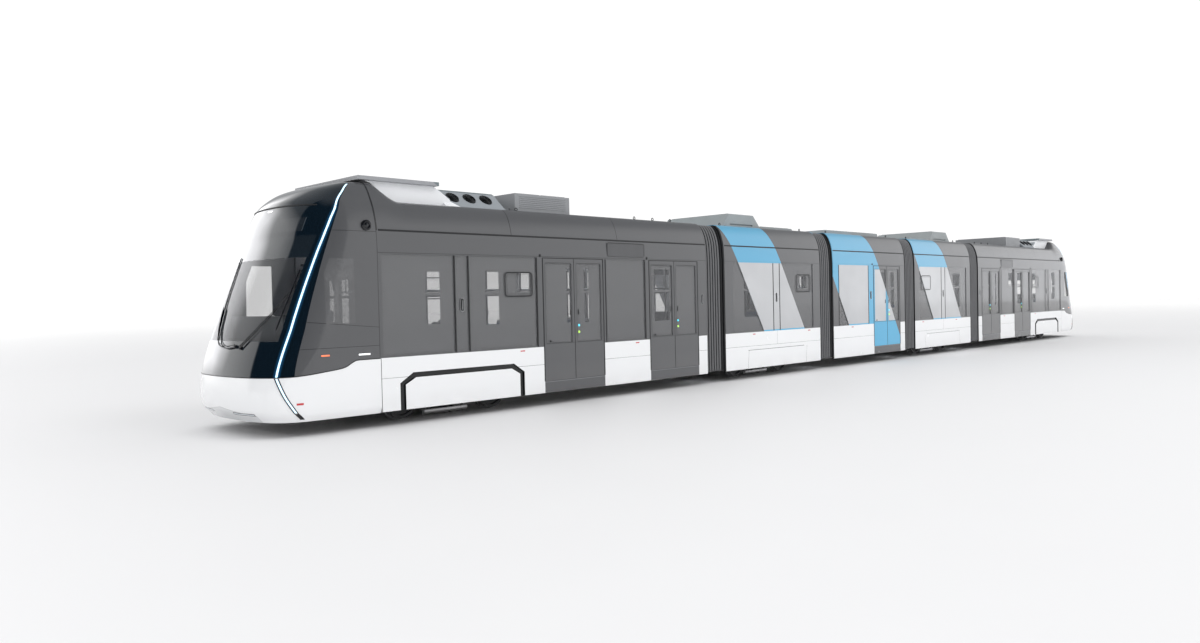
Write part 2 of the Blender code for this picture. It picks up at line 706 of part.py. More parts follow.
def bogie_frame(name, centre):
    """Two side beams with axle boxes, a wide transom between them and the post that carries the body."""
    low, high = FRAME_LEVELS
    beams = both_sides([((centre - BEAM_HALF, BEAM_INNER, low), (centre + BEAM_HALF, BEAM_OUTER, high))])
    width = BEAM_INNER + 0.05
    transom = boxes("transom", [(
        (centre - TRANSOM_HALF, -width, low + 0.01), (centre + TRANSOM_HALF, width, high - 0.01),
    )])
    pockets = []
    for axle in (-HALF_WHEELBASE, HALF_WHEELBASE):
        for side in (-1, 1):
            x = centre + axle
            pockets.append(((x, side * (BEAM_INNER - 0.05), AXLE_HEIGHT), (x, side * 1.0, AXLE_HEIGHT)))
    post = rods("post", [((centre, 0, 0.36), (centre, 0, AISLE_UNDER - GAP))], POST_RADIUS, 20)
    return finished(
        name, transom, "bogie_steel",
        joined=[boxes("side_beams", beams), post], cut=[rods("axle_pockets", pockets, AXLE_RADIUS + 0.006, 12)],
    )


WHEEL_OUTER, WHEEL_INNER, FLANGE_ROOT = 0.81, 0.675, 0.70


def wheelset(name, x):
    """An axle with its two wheels, turned about the axle, a flat of the flange at the bottom."""
    half = [
        (0.0, AXLE_HALF), (AXLE_RADIUS, AXLE_HALF), (AXLE_RADIUS, WHEEL_OUTER), (TREAD_RADIUS, WHEEL_OUTER),
        (TREAD_RADIUS, FLANGE_ROOT), (FLANGE_RADIUS, FLANGE_ROOT - 0.01), (FLANGE_RADIUS, WHEEL_INNER),
        (AXLE_RADIUS, WHEEL_INNER),
    ]
    profile = half + [(r, -y) for r, y in reversed(half)]
    bm = bmesh.new()
    verts = [bm.verts.new((r, 0, y)) for r, y in profile]
    for first, second in zip(verts, verts[1:]):
        bm.edges.new((first, second))
    mesh = bpy.data.meshes.new(name)
    bm.to_mesh(mesh)
    bm.free()
    made = bpy.data.objects.new(name, mesh)
    tram.objects.link(made)
    turned = made.modifiers.new("turned", "SCREW")
    turned.steps = turned.render_steps = WHEEL_STEPS
    turned.use_merge_vertices = True
    turned.merge_threshold = 0.0001
    made.data.materials.append(PAINT["wheel_steel"])
    half_step = Matrix.Rotation(math.pi / WHEEL_STEPS, 4, "Z")
    made.matrix_world = Matrix.Translation((x, 0, AXLE_HEIGHT)) @ Matrix.Rotation(math.pi / 2, 4, "X") @ half_step
    return made


# Assembly: every piece hangs from the empty of the body that it moves with

def body(name, x, z=0.0, parent=None):
    empty = bpy.data.objects.new(name, None)
    empty.empty_display_size = 0.5
    tram.objects.link(empty)
    empty.matrix_world = Matrix.Translation((x, 0, z))
    hang(empty, parent)
    return empty


def hang(made, parent):
    bpy.context.view_layer.update()
    if parent:
        made.parent = parent
        made.matrix_parent_inverse = parent.matrix_world.inverted()


section_c = body("section_c", 0.0)
section_b = body("section_b", PIVOT_BC, 0.32, section_c)
section_a = body("section_a", PIVOT_AB, 0.32, section_b)
section_d = body("section_d", -PIVOT_BC, 0.32, section_c)
section_e = body("section_e", -PIVOT_AB, 0.32, section_d)
bogie_front = body("bogie_front", END_BOGIE, 0.45, section_a)
bogie_rear = body("bogie_rear", -END_BOGIE, 0.45, section_e)


def front_and_rear(made, name, front_body, rear_body):
    """Hangs the front piece, and a copy of it turned to the rear end."""
    hang(turned_back(made, name), rear_body)
    hang(made, front_body)


front_and_rear(underframe_a(), "underframe_e", section_a, section_e)
front_and_rear(underframe_b(), "underframe_d", section_b, section_d)
hang(underframe_c(), section_c)
front_and_rear(body_shell("a", A_END, CAB_SEAM - GAP), "shell_e", section_a, section_e)
front_and_rear(body_shell("b", B_END, B_FRONT), "shell_d", section_b, section_d)
hang(body_shell("c", -C_END, C_END), section_c)
front_and_rear(cab_shell(), "cab_shell_rear", section_a, section_e)
front_and_rear(windscreen(), "windscreen_rear", section_a, section_e)
front_and_rear(bumper(), "bumper_rear", section_a, section_e)
front_and_rear(roof_equipment(), "roof_equipment_rear", section_a, section_e)
front_and_rear(roof_box(), "roof_box_d", section_b, section_d)
hang(roof_cover(), section_c)

REAR_LETTER = {"a": "e", "b": "d"}
FRONT_BODIES = {"a": (section_a, section_e), "b": (section_b, section_d)}
for letter, ribbons in RIBBONS.items():
    for index, (low, high) in enumerate(ribbons, 1):
        left = glazing(letter, index, low, high)
        right = mirrored(left, f"glazing_{letter}{index}_right")
        if letter == "c":
            hang(left, section_c)
            hang(right, section_c)
        else:
            rear = REAR_LETTER[letter]
            front_and_rear(left, f"glazing_{rear}{index}_right", *FRONT_BODIES[letter])
            front_and_rear(right, f"glazing_{rear}{index}_left", *FRONT_BODIES[letter])

left = doors("a")
right = mirrored(left, "doors_a_right")
front_and_rear(left, "doors_e_right", section_a, section_e)
front_and_rear(right, "doors_e_left", section_a, section_e)
left = doors("c")
hang(mirrored(left, "doors_c_right"), section_c)
hang(left, section_c)

for name, low, high, holder in (
    ("bellows_ab", B_FRONT, A_END, section_b), ("bellows_bc", C_END, B_END, section_c),
    ("bellows_cd", -B_END, -C_END, section_c), ("bellows_de", -A_END, -B_FRONT, section_d),
):
    hang(bellows(name, low, high), holder)

for number, (centre, holder) in enumerate(
    ((END_BOGIE, bogie_front), (INNER_BOGIE, section_b), (-INNER_BOGIE, section_d), (-END_BOGIE, bogie_rear)), 1,
):
    hang(bogie_frame(f"bogie_frame_{number}", centre), holder)
    for place, offset in enumerate((HALF_WHEELBASE, -HALF_WHEELBASE)):
        axle = 2 * number - 1 + place
        empty = body(f"axle_{axle}", centre + offset, AXLE_HEIGHT, holder)
        hang(wheelset(f"wheelset_{axle}", centre + offset), empty)
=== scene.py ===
# %% [markdown]
# A low-floor tram in five sections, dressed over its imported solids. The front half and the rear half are
# the same shape turned half round, so most pieces are worked out once, for the front left corner, and then
# placed by the signs of X and Y.

# %% Load the frame
import math

import bmesh
import bpy
import numpy as np
from mathutils import Matrix


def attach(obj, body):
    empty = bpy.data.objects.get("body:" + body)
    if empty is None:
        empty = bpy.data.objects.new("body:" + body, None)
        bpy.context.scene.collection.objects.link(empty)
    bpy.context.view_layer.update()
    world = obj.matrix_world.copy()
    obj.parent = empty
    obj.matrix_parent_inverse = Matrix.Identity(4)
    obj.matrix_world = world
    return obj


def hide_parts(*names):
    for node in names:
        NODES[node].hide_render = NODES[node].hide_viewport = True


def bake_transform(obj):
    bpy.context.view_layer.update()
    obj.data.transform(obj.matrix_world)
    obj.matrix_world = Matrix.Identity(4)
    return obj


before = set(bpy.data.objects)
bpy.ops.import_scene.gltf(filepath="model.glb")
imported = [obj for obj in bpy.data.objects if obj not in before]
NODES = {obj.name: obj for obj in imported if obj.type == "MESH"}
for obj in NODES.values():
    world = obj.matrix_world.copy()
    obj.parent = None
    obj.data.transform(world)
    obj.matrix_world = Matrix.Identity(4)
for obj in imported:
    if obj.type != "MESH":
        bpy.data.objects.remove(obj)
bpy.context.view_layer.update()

# %% [markdown]
# The picture was taken from the front left, under two metres above the rails, with a wide lens. The camera is
# set by its place, the way that it looks and its small roll.

# %% Camera
CAMERA_PLACE = (22.23, 13.106, 1.83)
CAMERA_YAW, CAMERA_PITCH, CAMERA_ROLL = (math.radians(a) for a in (224.7, -1.34, -1.29))
LENS, SENSOR_WIDTH = 27, 36


def looking(yaw, pitch, roll):
    """Turn matrix of a camera: its view lies at the yaw and pitch, and its picture is rolled about it."""
    ahead = np.array([math.cos(yaw) * math.cos(pitch), math.sin(yaw) * math.cos(pitch), math.sin(pitch)])
    level = np.array([math.sin(yaw), -math.cos(yaw), 0])
    upright = np.cross(level, ahead)
    right = level * math.cos(roll) + upright * math.sin(roll)
    up = upright * math.cos(roll) - level * math.sin(roll)
    return Matrix(np.stack([right, up, -ahead], axis=1).tolist()).to_4x4()


camera = bpy.data.objects.new("camera", bpy.data.cameras.new("camera"))
camera.data.lens = LENS
camera.data.sensor_width = SENSOR_WIDTH
camera.matrix_world = Matrix.Translation(CAMERA_PLACE) @ looking(CAMERA_YAW, CAMERA_PITCH, CAMERA_ROLL)
bpy.context.scene.collection.objects.link(camera)
bpy.context.scene.camera = camera
print("camera at", CAMERA_PLACE)

# %% [markdown]
# Shader maths reads best as plain sums, so a small class stands for a socket and lets Python's operators add
# Math nodes. Each finish is one Principled shader, and a single method adds any other node.


# %% Finishes as expressions
MIX_MASK, MIX_FIRST, MIX_SECOND, MIX_RESULT = 0, 6, 7, 2  # the sockets of a Mix node that mixes colours


class Value:
    """A shader value. Arithmetic on it adds Math nodes beside it."""

    def __init__(self, nodes, socket):
        self.nodes, self.socket = nodes, socket

    def maths(self, operation, *others):
        return self.nodes.node("ShaderNodeMath", {"operation": operation}, dict(enumerate((self,) + others)))

    def __add__(self, other):
        return self.maths("ADD", other)

    def __sub__(self, other):
        return self.maths("SUBTRACT", other)

    def __mul__(self, other):
        return self.maths("MULTIPLY", other)

    def __rsub__(self, other):
        return (self * -1) + other

    def __abs__(self):
        return self.maths("ABSOLUTE")

    __radd__, __rmul__ = __add__, __mul__

    def over(self, limit, soft=0.002):
        """0 below the limit and 1 above it, with a soft step between."""
        ends = {"From Min": limit - soft / 2, "From Max": limit + soft / 2}
        return self.nodes.node("ShaderNodeMapRange", {"clamp": True}, {"Value": self, **ends})

    def within(self, low, high, soft=0.002):
        """1 between two limits and 0 outside them."""
        return self.over(low, soft) * (1 - self.over(high, soft))

    def line(self, place, width, soft=0.0015):
        """1 on a thin line where the value is at a place."""
        return 1 - abs(self - place).over(width / 2, soft)


class Nodes:
    """A node tree. One method adds any node, and the others add those that most finishes need."""

    def __init__(self, tree):
        self.tree = tree

    def node(self, kind, settings=None, sockets=None, out=0):
        """Adds a node, applies its settings, and fills its sockets with numbers, colours or values."""
        made = self.tree.nodes.new(kind)
        for key, value in (settings or {}).items():
            setattr(made, key, value)
        for key, value in (sockets or {}).items():
            if isinstance(value, Value):
                self.tree.links.new(value.socket, made.inputs[key])
            else:
                made.inputs[key].default_value = (*value, 1) if isinstance(value, tuple) else value
        return Value(self, made.outputs[out])

    def axes(self, vector):
        """The X, Y and Z of a vector, as three values."""
        split = self.node("ShaderNodeSeparateXYZ", None, {0: vector}).socket.node
        return [Value(self, output) for output in split.outputs]

    def place(self, kind="Object"):
        """X, Y and Z in the object's own metres or, in a surround, the Generated way that one looks."""
        return self.axes(self.node("ShaderNodeTexCoord", out=kind))

    def skin(self):
        """The two coordinates that a skin's own map carries."""
        return self.axes(self.node("ShaderNodeUVMap"))[:2]

    def mix(self, mask, first, second):
        """The first colour where the mask is 0 and the second where it is 1."""
        sockets = {MIX_MASK: mask, MIX_FIRST: first, MIX_SECOND: second}
        return self.node("ShaderNodeMix", {"data_type": "RGBA"}, sockets, MIX_RESULT)

    def noise(self, scale, detail=3.0):
        """Cloudy noise in object space, from 0 to 1."""
        sockets = {"Vector": self.node("ShaderNodeTexCoord", out="Object"), "Scale": scale, "Detail": detail}
        return self.node("ShaderNodeTexNoise", None, sockets)


class Finish(Nodes):
    """A named material made of one Principled shader."""

    def __init__(self, name, colour, roughness=0.5, metallic=0.0, **constants):
        self.material = bpy.data.materials.new(name)
        self.material.use_nodes = True
        super().__init__(self.material.node_tree)
        self.shader = self.tree.nodes["Principled BSDF"]
        self.shader.inputs["Base Color"].default_value = (*colour, 1)
        self.shader.inputs["Roughness"].default_value = roughness
        self.shader.inputs["Metallic"].default_value = metallic
        for key, value in constants.items():
            self.shader.inputs[key.replace("_", " ")].default_value = value
        self.material.diffuse_color = (*colour, 1)

    def set(self, key, value):
        """Links a value to one of the shader's sockets."""
        self.tree.links.new(value.socket, self.shader.inputs[key])

    def colour_so_far(self):
        """The colour that reaches the shader, for another layer to go over it."""
        return Value(self, self.shader.inputs["Base Color"].links[0].from_socket)

    def bump(self, height, distance, strength=1.0):
        """Raises the surface by the height times the distance, in metres."""
        sockets = {"Height": height, "Distance": distance, "Strength": strength}
        self.set("Normal", self.node("ShaderNodeBump", None, sockets))


print("finish tools ready")

# %% [markdown]
# A paint shop's work is never perfectly even. Every paint here gets a little cloudiness in its gloss, a fine
# orange peel in its bump and some road dust towards the rails, all from noise in object space.


# %% Paint helper
DUST = (0.42, 0.40, 0.37)
SEAM_COLOUR = (0.012, 0.013, 0.015)
CLOUD, PEEL = (2.2, 4.0), (240.0, 1.0)
PEEL_HEIGHT, SEAM_DEPTH, SEAM_STRENGTH = 0.04, 0.002, 0.6


def painted(finish, colour, lines, gloss, dust_top=0.75, dust=0.12):
    """Colour, gloss and bump of a sprayed panel: noise varies the gloss, and dust fades out upwards.
    Lines is a mask of seams, drawn dark and sunk."""
    z = finish.place()[2]
    cloud, peel = finish.noise(*CLOUD), finish.noise(*PEEL)
    dirt = (1 - z.over(dust_top * 0.55, dust_top)) * cloud.over(0.45, 0.5) * dust
    finish.set("Base Color", finish.mix(lines, finish.mix(dirt, colour, DUST), SEAM_COLOUR))
    finish.set("Roughness", cloud * 0.08 + (gloss - 0.04))
    finish.bump(peel * PEEL_HEIGHT - lines, SEAM_DEPTH, SEAM_STRENGTH)


def joined_lines(*masks):
    """One mask of several sets of lines, which stays 1 where they cross."""
    return sum(masks[1:], masks[0]).maths("MINIMUM", 1.0)


print("paint helper ready")

# %% [markdown]
# Shapes are worked out with numpy as rings or grids of points. A loft joins rings into a closed body, and a
# wall joins two grids, as a sheet with a thickness.


# %% Lofts and walls
def loft(rings, closed=False):
    """Faces over rings of points, each ring joined to the next one. Closed joins the last ring to the first,
    otherwise the two ends get a cap."""
    rings = np.asarray(rings, float)
    count, around = rings.shape[:2]
    ring, spot = np.meshgrid(np.arange(count if closed else count - 1), np.arange(around), indexing="ij")
    after, beside = (ring + 1) % count, (spot + 1) % around
    here, there = ring * around, after * around
    quads = np.stack([here + spot, here + beside, there + beside, there + spot])
    faces = quads.reshape(4, -1).T.tolist()
    if not closed:
        faces += [list(range(around))[::-1], list(range((count - 1) * around, count * around))]
    return rings.reshape(-1, 3), faces


def wall(outer, inner):
    """A closed wall between two grids of points: both grids, and a strip round their four edges."""
    rows, columns = outer.shape[:2]
    half = rows * columns
    index = np.arange(half).reshape(rows, columns)
    quads = np.stack([index[:-1, :-1], index[:-1, 1:], index[1:, 1:], index[1:, :-1]]).reshape(4, -1).T
    faces = quads.tolist() + (quads[:, ::-1] + half).tolist()
    rim = np.concatenate([index[0, :], index[1:, -1], index[-1, -2::-1], index[-2:0:-1, 0]])
    after = np.roll(rim, -1)
    faces += np.stack([rim, rim + half, after + half, after]).T.tolist()
    return np.concatenate([outer.reshape(-1, 3), inner.reshape(-1, 3)]), faces


def lined(part, rows, columns):
    """A wall whose inner side takes the second finish."""
    side = (rows - 1) * (columns - 1)
    choice = np.zeros(len(part[1]), int)
    choice[side:2 * side] = 1
    return (*part, choice)


def grid_along(x, lines):
    """A grid of points from lines of (Y, Z), one line at each X."""
    across = np.broadcast_to(np.asarray(x, float)[:, None, None], (*lines.shape[:2], 1))
    return np.concatenate([across, lines], axis=2)


print("lofts and walls ready")

# %% [markdown]
# Most fittings are bars, rods or turned bodies. Blender's own cubes and cylinders would need a bevel each, so
# these carry their soft edges in their rings.


# %% Bars, rods and turned bodies
def bar(low, high, soft=0.004):
    """A box with softened edges: along its longest side it is a rounded rectangle that narrows at both ends."""
    low, high = np.minimum(low, high).astype(float), np.maximum(low, high).astype(float)
    size = high - low
    axis = int(np.argmax(size))
    across = [i for i in range(3) if i != axis]
    soft = min(soft, size[across].min() * 0.45)
    angle = np.radians(np.arange(12) * 30 + 15)
    quarter = np.arange(12) // 3
    sign = np.stack([np.array([1, -1, -1, 1])[quarter], np.array([1, 1, -1, -1])[quarter]], 1)
    rings = []
    stations = (low[axis], low[axis] + soft, high[axis] - soft, high[axis])
    for station, narrow in zip(stations, (soft, 0, 0, soft)):
        half = size[across] / 2 - soft - narrow * 0.5
        round_part = np.stack([np.cos(angle), np.sin(angle)], 1) * (soft - narrow * 0.5)
        ring = np.empty((12, 3))
        ring[:, axis] = station
        ring[:, across] = (low + high)[across] / 2 + sign * half + round_part
        rings.append(ring)
    return loft(rings)


def frames_along(path):
    """Side and up directions at each point of a path: the side is level, unless the path climbs straight up."""
    path = np.asarray(path, float)
    ahead = np.gradient(path, axis=0)
    ahead /= np.linalg.norm(ahead, axis=1, keepdims=True)
    upright = np.array([0, 0, 1.0]) if np.abs(ahead[:, 2]).mean() < 0.9 else np.array([1.0, 0, 0])
    side = np.cross(ahead, upright)
    side /= np.linalg.norm(side, axis=1, keepdims=True)
    return side, np.cross(side, ahead)


def tube(path, radius, steps=12):
    """A round rod: a circle carried along a path."""
    side, up = frames_along(path)
    angle = np.linspace(0, 2 * math.pi, steps, endpoint=False)
    radius = np.broadcast_to(radius, (len(path),))[:, None, None]
    circle = np.cos(angle)[None, :, None] * side[:, None] + np.sin(angle)[None, :, None] * up[:, None]
    return loft(np.asarray(path, float)[:, None] + circle * radius)


def turning(profile, centre, axis, steps=48):
    """A turned body: a closed profile of (distance from the axis, place along it) carried round the axis."""
    profile = np.asarray(profile, float)
    angle = np.linspace(0, 2 * math.pi, steps, endpoint=False)
    others = [i for i in range(3) if i != axis]
    rings = np.zeros((steps, len(profile), 3))
    rings[..., others[0]] = np.cos(angle)[:, None] * profile[:, 0]
    rings[..., others[1]] = np.sin(angle)[:, None] * profile[:, 0]
    rings[..., axis] = profile[:, 1]
    return loft(rings + np.asarray(centre, float), closed=True)


print("bars, rods and turned bodies ready")

# %% [markdown]
# Panes, plates and seals on the tram's sides are rectangles with rounded corners, seen square on. A bevelled
# cube would round them too, but a worked-out outline also knows its way outwards, which the seals need.


# %% Plates and frames on the sides
def rounded_outline(low, high, radius, steps=6):
    """Points and outward directions round a rectangle with rounded corners."""
    angle = np.concatenate([np.linspace(q, q + 90, steps) for q in (0, 90, 180, 270)])
    outward = np.stack([np.cos(np.radians(angle)), np.sin(np.radians(angle))], 1)
    low, high = np.asarray(low, float), np.asarray(high, float)
    corner = np.repeat([[1, 1], [-1, 1], [-1, -1], [1, -1]], steps, axis=0)
    centre = (low + high) / 2 + corner * ((high - low) / 2 - radius)
    return centre + outward * radius, outward


def side_frame(low, high, radius, y, width, proud):
    """A rubber frame round a rounded rectangle in X and Z: a soft rectangular section carried round it."""
    outline, outward = rounded_outline(low, high, radius)
    section = [(0, 0), (0, proud * 0.7), (width * 0.2, proud), (width * 0.8, proud), (width, proud * 0.7),
               (width, 0)]
    rings = np.zeros((len(outline), len(section), 3))
    for i, (out, up) in enumerate(section):
        rings[:, i, 0] = outline[:, 0] + outward[:, 0] * out
        rings[:, i, 2] = outline[:, 1] + outward[:, 1] * out
        rings[:, i, 1] = y + np.sign(y) * up
    return loft(rings, closed=True)


def side_plate(low, high, radius, near, far):
    """A flat plate with rounded corners in X and Z, between two places in Y."""
    outline, _ = rounded_outline(low, high, radius)
    rings = np.zeros((2, len(outline), 3))
    rings[..., 0], rings[..., 2] = outline[:, 0], outline[:, 1]
    rings[0, :, 1], rings[1, :, 1] = near, far
    return loft(rings)


print("plates and frames ready")

# %% [markdown]
# A piece is often many closed parts at several corners of the tram. They are placed by sign, joined into one
# object and made to face outwards, which also mends those that a mirroring turned inside out.


# %% From parts to an object
def placed(part, along=1, across=1):
    """The part at another corner of the tram: X times one sign and Y times the other."""
    return (part[0] * np.array([along, across, 1.0]), *part[1:])


def at_end(parts, sign):
    """Parts that were worked out for the front half: as they are for 1, and turned half round for -1."""
    return [placed(part, sign, sign) for part in parts]


def object_of(name, parts, finish, body, maps=None, crease=35):
    """Joins closed parts into one object, turns their faces outwards and lets it ride on a body. A part may
    carry a third value, the number of its finish in a list of them, or one number for each face."""
    finishes = finish if isinstance(finish, (list, tuple)) else [finish]
    starts = np.cumsum([0] + [len(part[0]) for part in parts])
    points = np.concatenate([part[0] for part in parts])
    faces = [[i + start for i in face] for part, start in zip(parts, starts) for face in part[1]]
    choice = np.concatenate([np.broadcast_to(part[2] if len(part) > 2 else 0, len(part[1])) for part in parts])
    mesh = bpy.data.meshes.new(name)
    mesh.from_pydata(points.tolist(), [], faces)
    mesh.polygons.foreach_set("material_index", choice)
    bm = bmesh.new()
    bm.from_mesh(mesh)
    bmesh.ops.recalc_face_normals(bm, faces=bm.faces)
    bm.to_mesh(mesh)
    bm.free()
    if maps is not None:
        corners = np.empty(len(mesh.loops), np.int32)
        mesh.loops.foreach_get("vertex_index", corners)
        mesh.uv_layers.new(name="skin").data.foreach_set("uv", np.asarray(maps, np.float32)[corners].ravel())
    mesh.shade_smooth()
    mesh.set_sharp_from_angle(angle=math.radians(crease))
    for item in finishes:
        mesh.materials.append(item.material)
    made = bpy.data.objects.new(name, mesh)
    bpy.context.scene.collection.objects.link(made)
    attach(made, body)
    return made


print("object helper ready")

# %% [markdown]
# The studio is a white room. Its pale floor reaches far beyond the tram, and glows faintly where the eye can't
# tell it from the air. A small floor would end in a hard edge on the horizon.

# %% Studio floor
FLOOR_HALF = 150.0
FLOOR_COLOUR, FLOOR_GLOW = (0.86, 0.86, 0.87), (0.20, 0.20, 0.19)
GLOW_MIDDLE, GLOW_STEP = 60.0, 70.0

floor_mesh = bpy.data.meshes.new("studio_floor")
floor_corners = [(x * FLOOR_HALF, y * FLOOR_HALF, 0) for x, y in ((-1, -1), (1, -1), (1, 1), (-1, 1))]
floor_mesh.from_pydata(floor_corners, [], [(0, 1, 2, 3)])
studio_floor = bpy.data.objects.new("studio_floor", floor_mesh)
bpy.context.scene.collection.objects.link(studio_floor)
FLOOR_PAINT = Finish("pale studio floor", FLOOR_COLOUR, 0.6, Emission_Strength=1.0)
FLOOR_PAINT.set("Roughness", FLOOR_PAINT.noise(0.8) * 0.1 + 0.55)
floor_x, floor_y, _ = FLOOR_PAINT.place()
far_off = (floor_x * floor_x + floor_y * floor_y).maths("POWER", 0.5).over(GLOW_MIDDLE, GLOW_STEP)
FLOOR_PAINT.set("Emission Color", FLOOR_PAINT.mix(far_off, (0, 0, 0), FLOOR_GLOW))
floor_mesh.materials.append(FLOOR_PAINT.material)
print("studio floor", 2 * FLOOR_HALF, "metres wide")

# %% [markdown]
# A glossy side shows whatever stands round it. So the surround is plain white for the soft light, and shows
# its screens and panels to mirrored light alone. Real walls could do it too, but would also shade the floor.

# %% Surround
world = bpy.data.worlds.new("white surround")
world.use_nodes = True
bpy.context.scene.world = world

SCREEN_HEADINGS, SCREEN_TOP_EDGE = (math.radians(-35), math.radians(112)), (0.93, 0.10)
PANEL_HEADINGS, PANEL_LEVELS = (math.radians(-103), math.radians(-70)), (0.05, 0.42)
GLARE_EDGE, GLARE_TOP_EDGE = (math.radians(152), math.radians(22)), (0.30, 0.30)
CANOPY_EDGE = (0.52, 0.16)
BEHIND_FOOT = (0.14, 0.08)
SCREEN_DARK, CANOPY_GREY, BEHIND_GREY = (0.012, 0.016, 0.022), (0.24, 0.25, 0.26), (0.40, 0.41, 0.42)
PANEL_BRIGHT, GLARE_BRIGHT = (2.5, 2.5, 2.55), (1.7, 1.72, 1.76)
SURROUND_STRENGTH = 1.05


def surround():
    """White all round. Only mirrored light sees the dark screen, which stands between two headings and reaches
    up to the sine of its top edge, the grey canopy overhead, a bright panel low beside the screen, the grey
    room beyond it and the glare far behind the tram."""
    room = Nodes(world.node_tree)
    x, y, z = room.place("Generated")
    heading = y.maths("ARCTAN2", x)
    mirrored = room.node("ShaderNodeLightPath", out="Is Glossy Ray")
    dark = heading.within(*SCREEN_HEADINGS, 0.05) * (1 - z.over(*SCREEN_TOP_EDGE)) * mirrored
    bright = heading.within(*PANEL_HEADINGS, 0.15) * z.within(*PANEL_LEVELS, 0.14) * mirrored
    behind = (1 - heading.over(PANEL_HEADINGS[0], 0.15)) * z.over(*BEHIND_FOOT) * mirrored
    glare = heading.over(*GLARE_EDGE) * (1 - z.over(*GLARE_TOP_EDGE)) * mirrored
    colour = (1, 1, 1)
    for mask, shown in ((bright, PANEL_BRIGHT), (behind, BEHIND_GREY), (glare, GLARE_BRIGHT),
                        (z.over(*CANOPY_EDGE) * mirrored, CANOPY_GREY), (dark, SCREEN_DARK)):
        colour = room.mix(mask, colour, shown)
    background = room.tree.nodes["Background"]
    room.tree.links.new(colour.socket, background.inputs["Color"])
    background.inputs["Strength"].default_value = SURROUND_STRENGTH


surround()
print("surround ready")

# %% [markdown]
# One large soft lamp stands high on the left and shapes the sides. It stays out of the mirrored light, where
# it would show as a bright square in every pane.


# %% Lamp and view
def soft_lamp(name, place, target, size, power):
    """A large area lamp that looks at a target."""
    lamp = bpy.data.objects.new(name, bpy.data.lights.new(name, "AREA"))
    lamp.data.energy, lamp.data.size = power, size
    ahead = np.subtract(target, place)
    yaw, pitch = math.atan2(ahead[1], ahead[0]), math.atan2(ahead[2], math.hypot(ahead[0], ahead[1]))
    lamp.matrix_world = Matrix.Translation(place) @ looking(yaw, pitch, 0)
    lamp.visible_glossy = False
    bpy.context.scene.collection.objects.link(lamp)


soft_lamp("key_lamp", place=(4, 22, 26), target=(4, 0, 1.5), size=12, power=1500)
bpy.context.scene.view_settings.view_transform = "Standard"
print("studio ready")

# %% [markdown]
# The grey and the white paint cover most of the tram. The middle sections carry slanted sky-blue bands, cut
# by planes in X and Z, so they run on from panel to panel and the glass takes them up as a silver film.

# %% Body paints
GREY = (0.082, 0.084, 0.090)
SKY_BLUE, PALER_BLUE = (0.055, 0.42, 0.70), (0.09, 0.38, 0.60)
INNER_LINING = (0.32, 0.325, 0.335)
BAND_SLOPE, BAND_SHIFT = 0.62, 1.1
BANDS = ((5.45, 3.75), (1.62, -0.95), (-3.35, -5.30))
SEAM_WIDTH = 0.014
SHOULDER_SEAMS, SHOULDER_FOOT = (12.40, 9.80, 14.995), 2.95
WAIST_LEVEL, WAIST_DEPTH = 2.62, 1.30


def band_mask(x, z):
    """1 inside the slanted bands: each lies between two planes that lean forward as they climb."""
    leaned = x - z * BAND_SLOPE + BAND_SHIFT
    first, *others = [leaned.within(low, high, 0.004) for high, low in BANDS]
    return sum(others, first)


def inside_of(y, z):
    """1 on the inner faces of the walls and the ceiling, and 0 on the outer ones. A slanted plane parts the
    inner faces of the shoulders from the outer ones."""
    shoulder = (abs(y) + z * 0.45).over(2.628, 0.004)
    return (1 - abs(y).over(1.268)) * (1 - z.over(3.365)) * (1 - shoulder)


def grey_paint(name, banded):
    """Grey outside, with a line at the waist and either the seams of the shoulders or the sky-blue bands, and
    a plain lining inside."""
    finish = Finish(name, GREY, 0.38, Coat_Weight=0.7, Coat_Roughness=0.08)
    x, y, z = finish.place()
    lines = [z.line(WAIST_LEVEL, 0.006) * abs(y).over(WAIST_DEPTH)]
    if not banded:
        lines += [abs(x).line(place, SEAM_WIDTH) * z.over(SHOULDER_FOOT) for place in SHOULDER_SEAMS]
    painted(finish, GREY, joined_lines(*lines), 0.40)
    inside = inside_of(y, z)
    colour = finish.mix(inside, finish.colour_so_far(), INNER_LINING)
    if banded:
        blue = finish.mix(z.over(2.0, 2.4), SKY_BLUE, PALER_BLUE)
        colour = finish.mix(band_mask(x, z) * (1 - inside), colour, blue)
    finish.set("Base Color", colour)
    return finish


BODY_GREY = grey_paint("grey body paint", False)
BANDED_GREY = grey_paint("grey body paint with sky blue bands", True)
print("grey paints ready")

# %% [markdown]
# The white skirts hide the wheels. They are panels with thin seams, a grey sill under each door and a black
# sunk frame round each bogie. The same solid holds the floor, so the finish tells outside from inside by Y.

# %% Skirt paint
WHITE, BLACK = (0.89, 0.90, 0.915), (0.006, 0.007, 0.008)
SILL_GREY, PAN_DARK, PAN_GREY = (0.17, 0.175, 0.185), (0.03, 0.031, 0.033), (0.30, 0.31, 0.33)
DOORS = {"a": ((10.216, 11.725), (7.40, 8.925)), "b": (), "c": ((-1.66, -0.15),)}
SILL_LINE, SILL_TOP, UNDERSIDE = 0.418, 0.44, 0.385
PANEL_SEAM, FLAP_SEAM, FLAP_ENDS = 0.73, 0.64, (3.33, 5.63)
FLAP_MIDDLE, FLAP_HALF, FLAP_SLANT = 4.48, 1.20, 0.12
SKIRT_FACE, SUNK_FACE, WALL_INSIDE = 1.3225, 1.3, 1.262


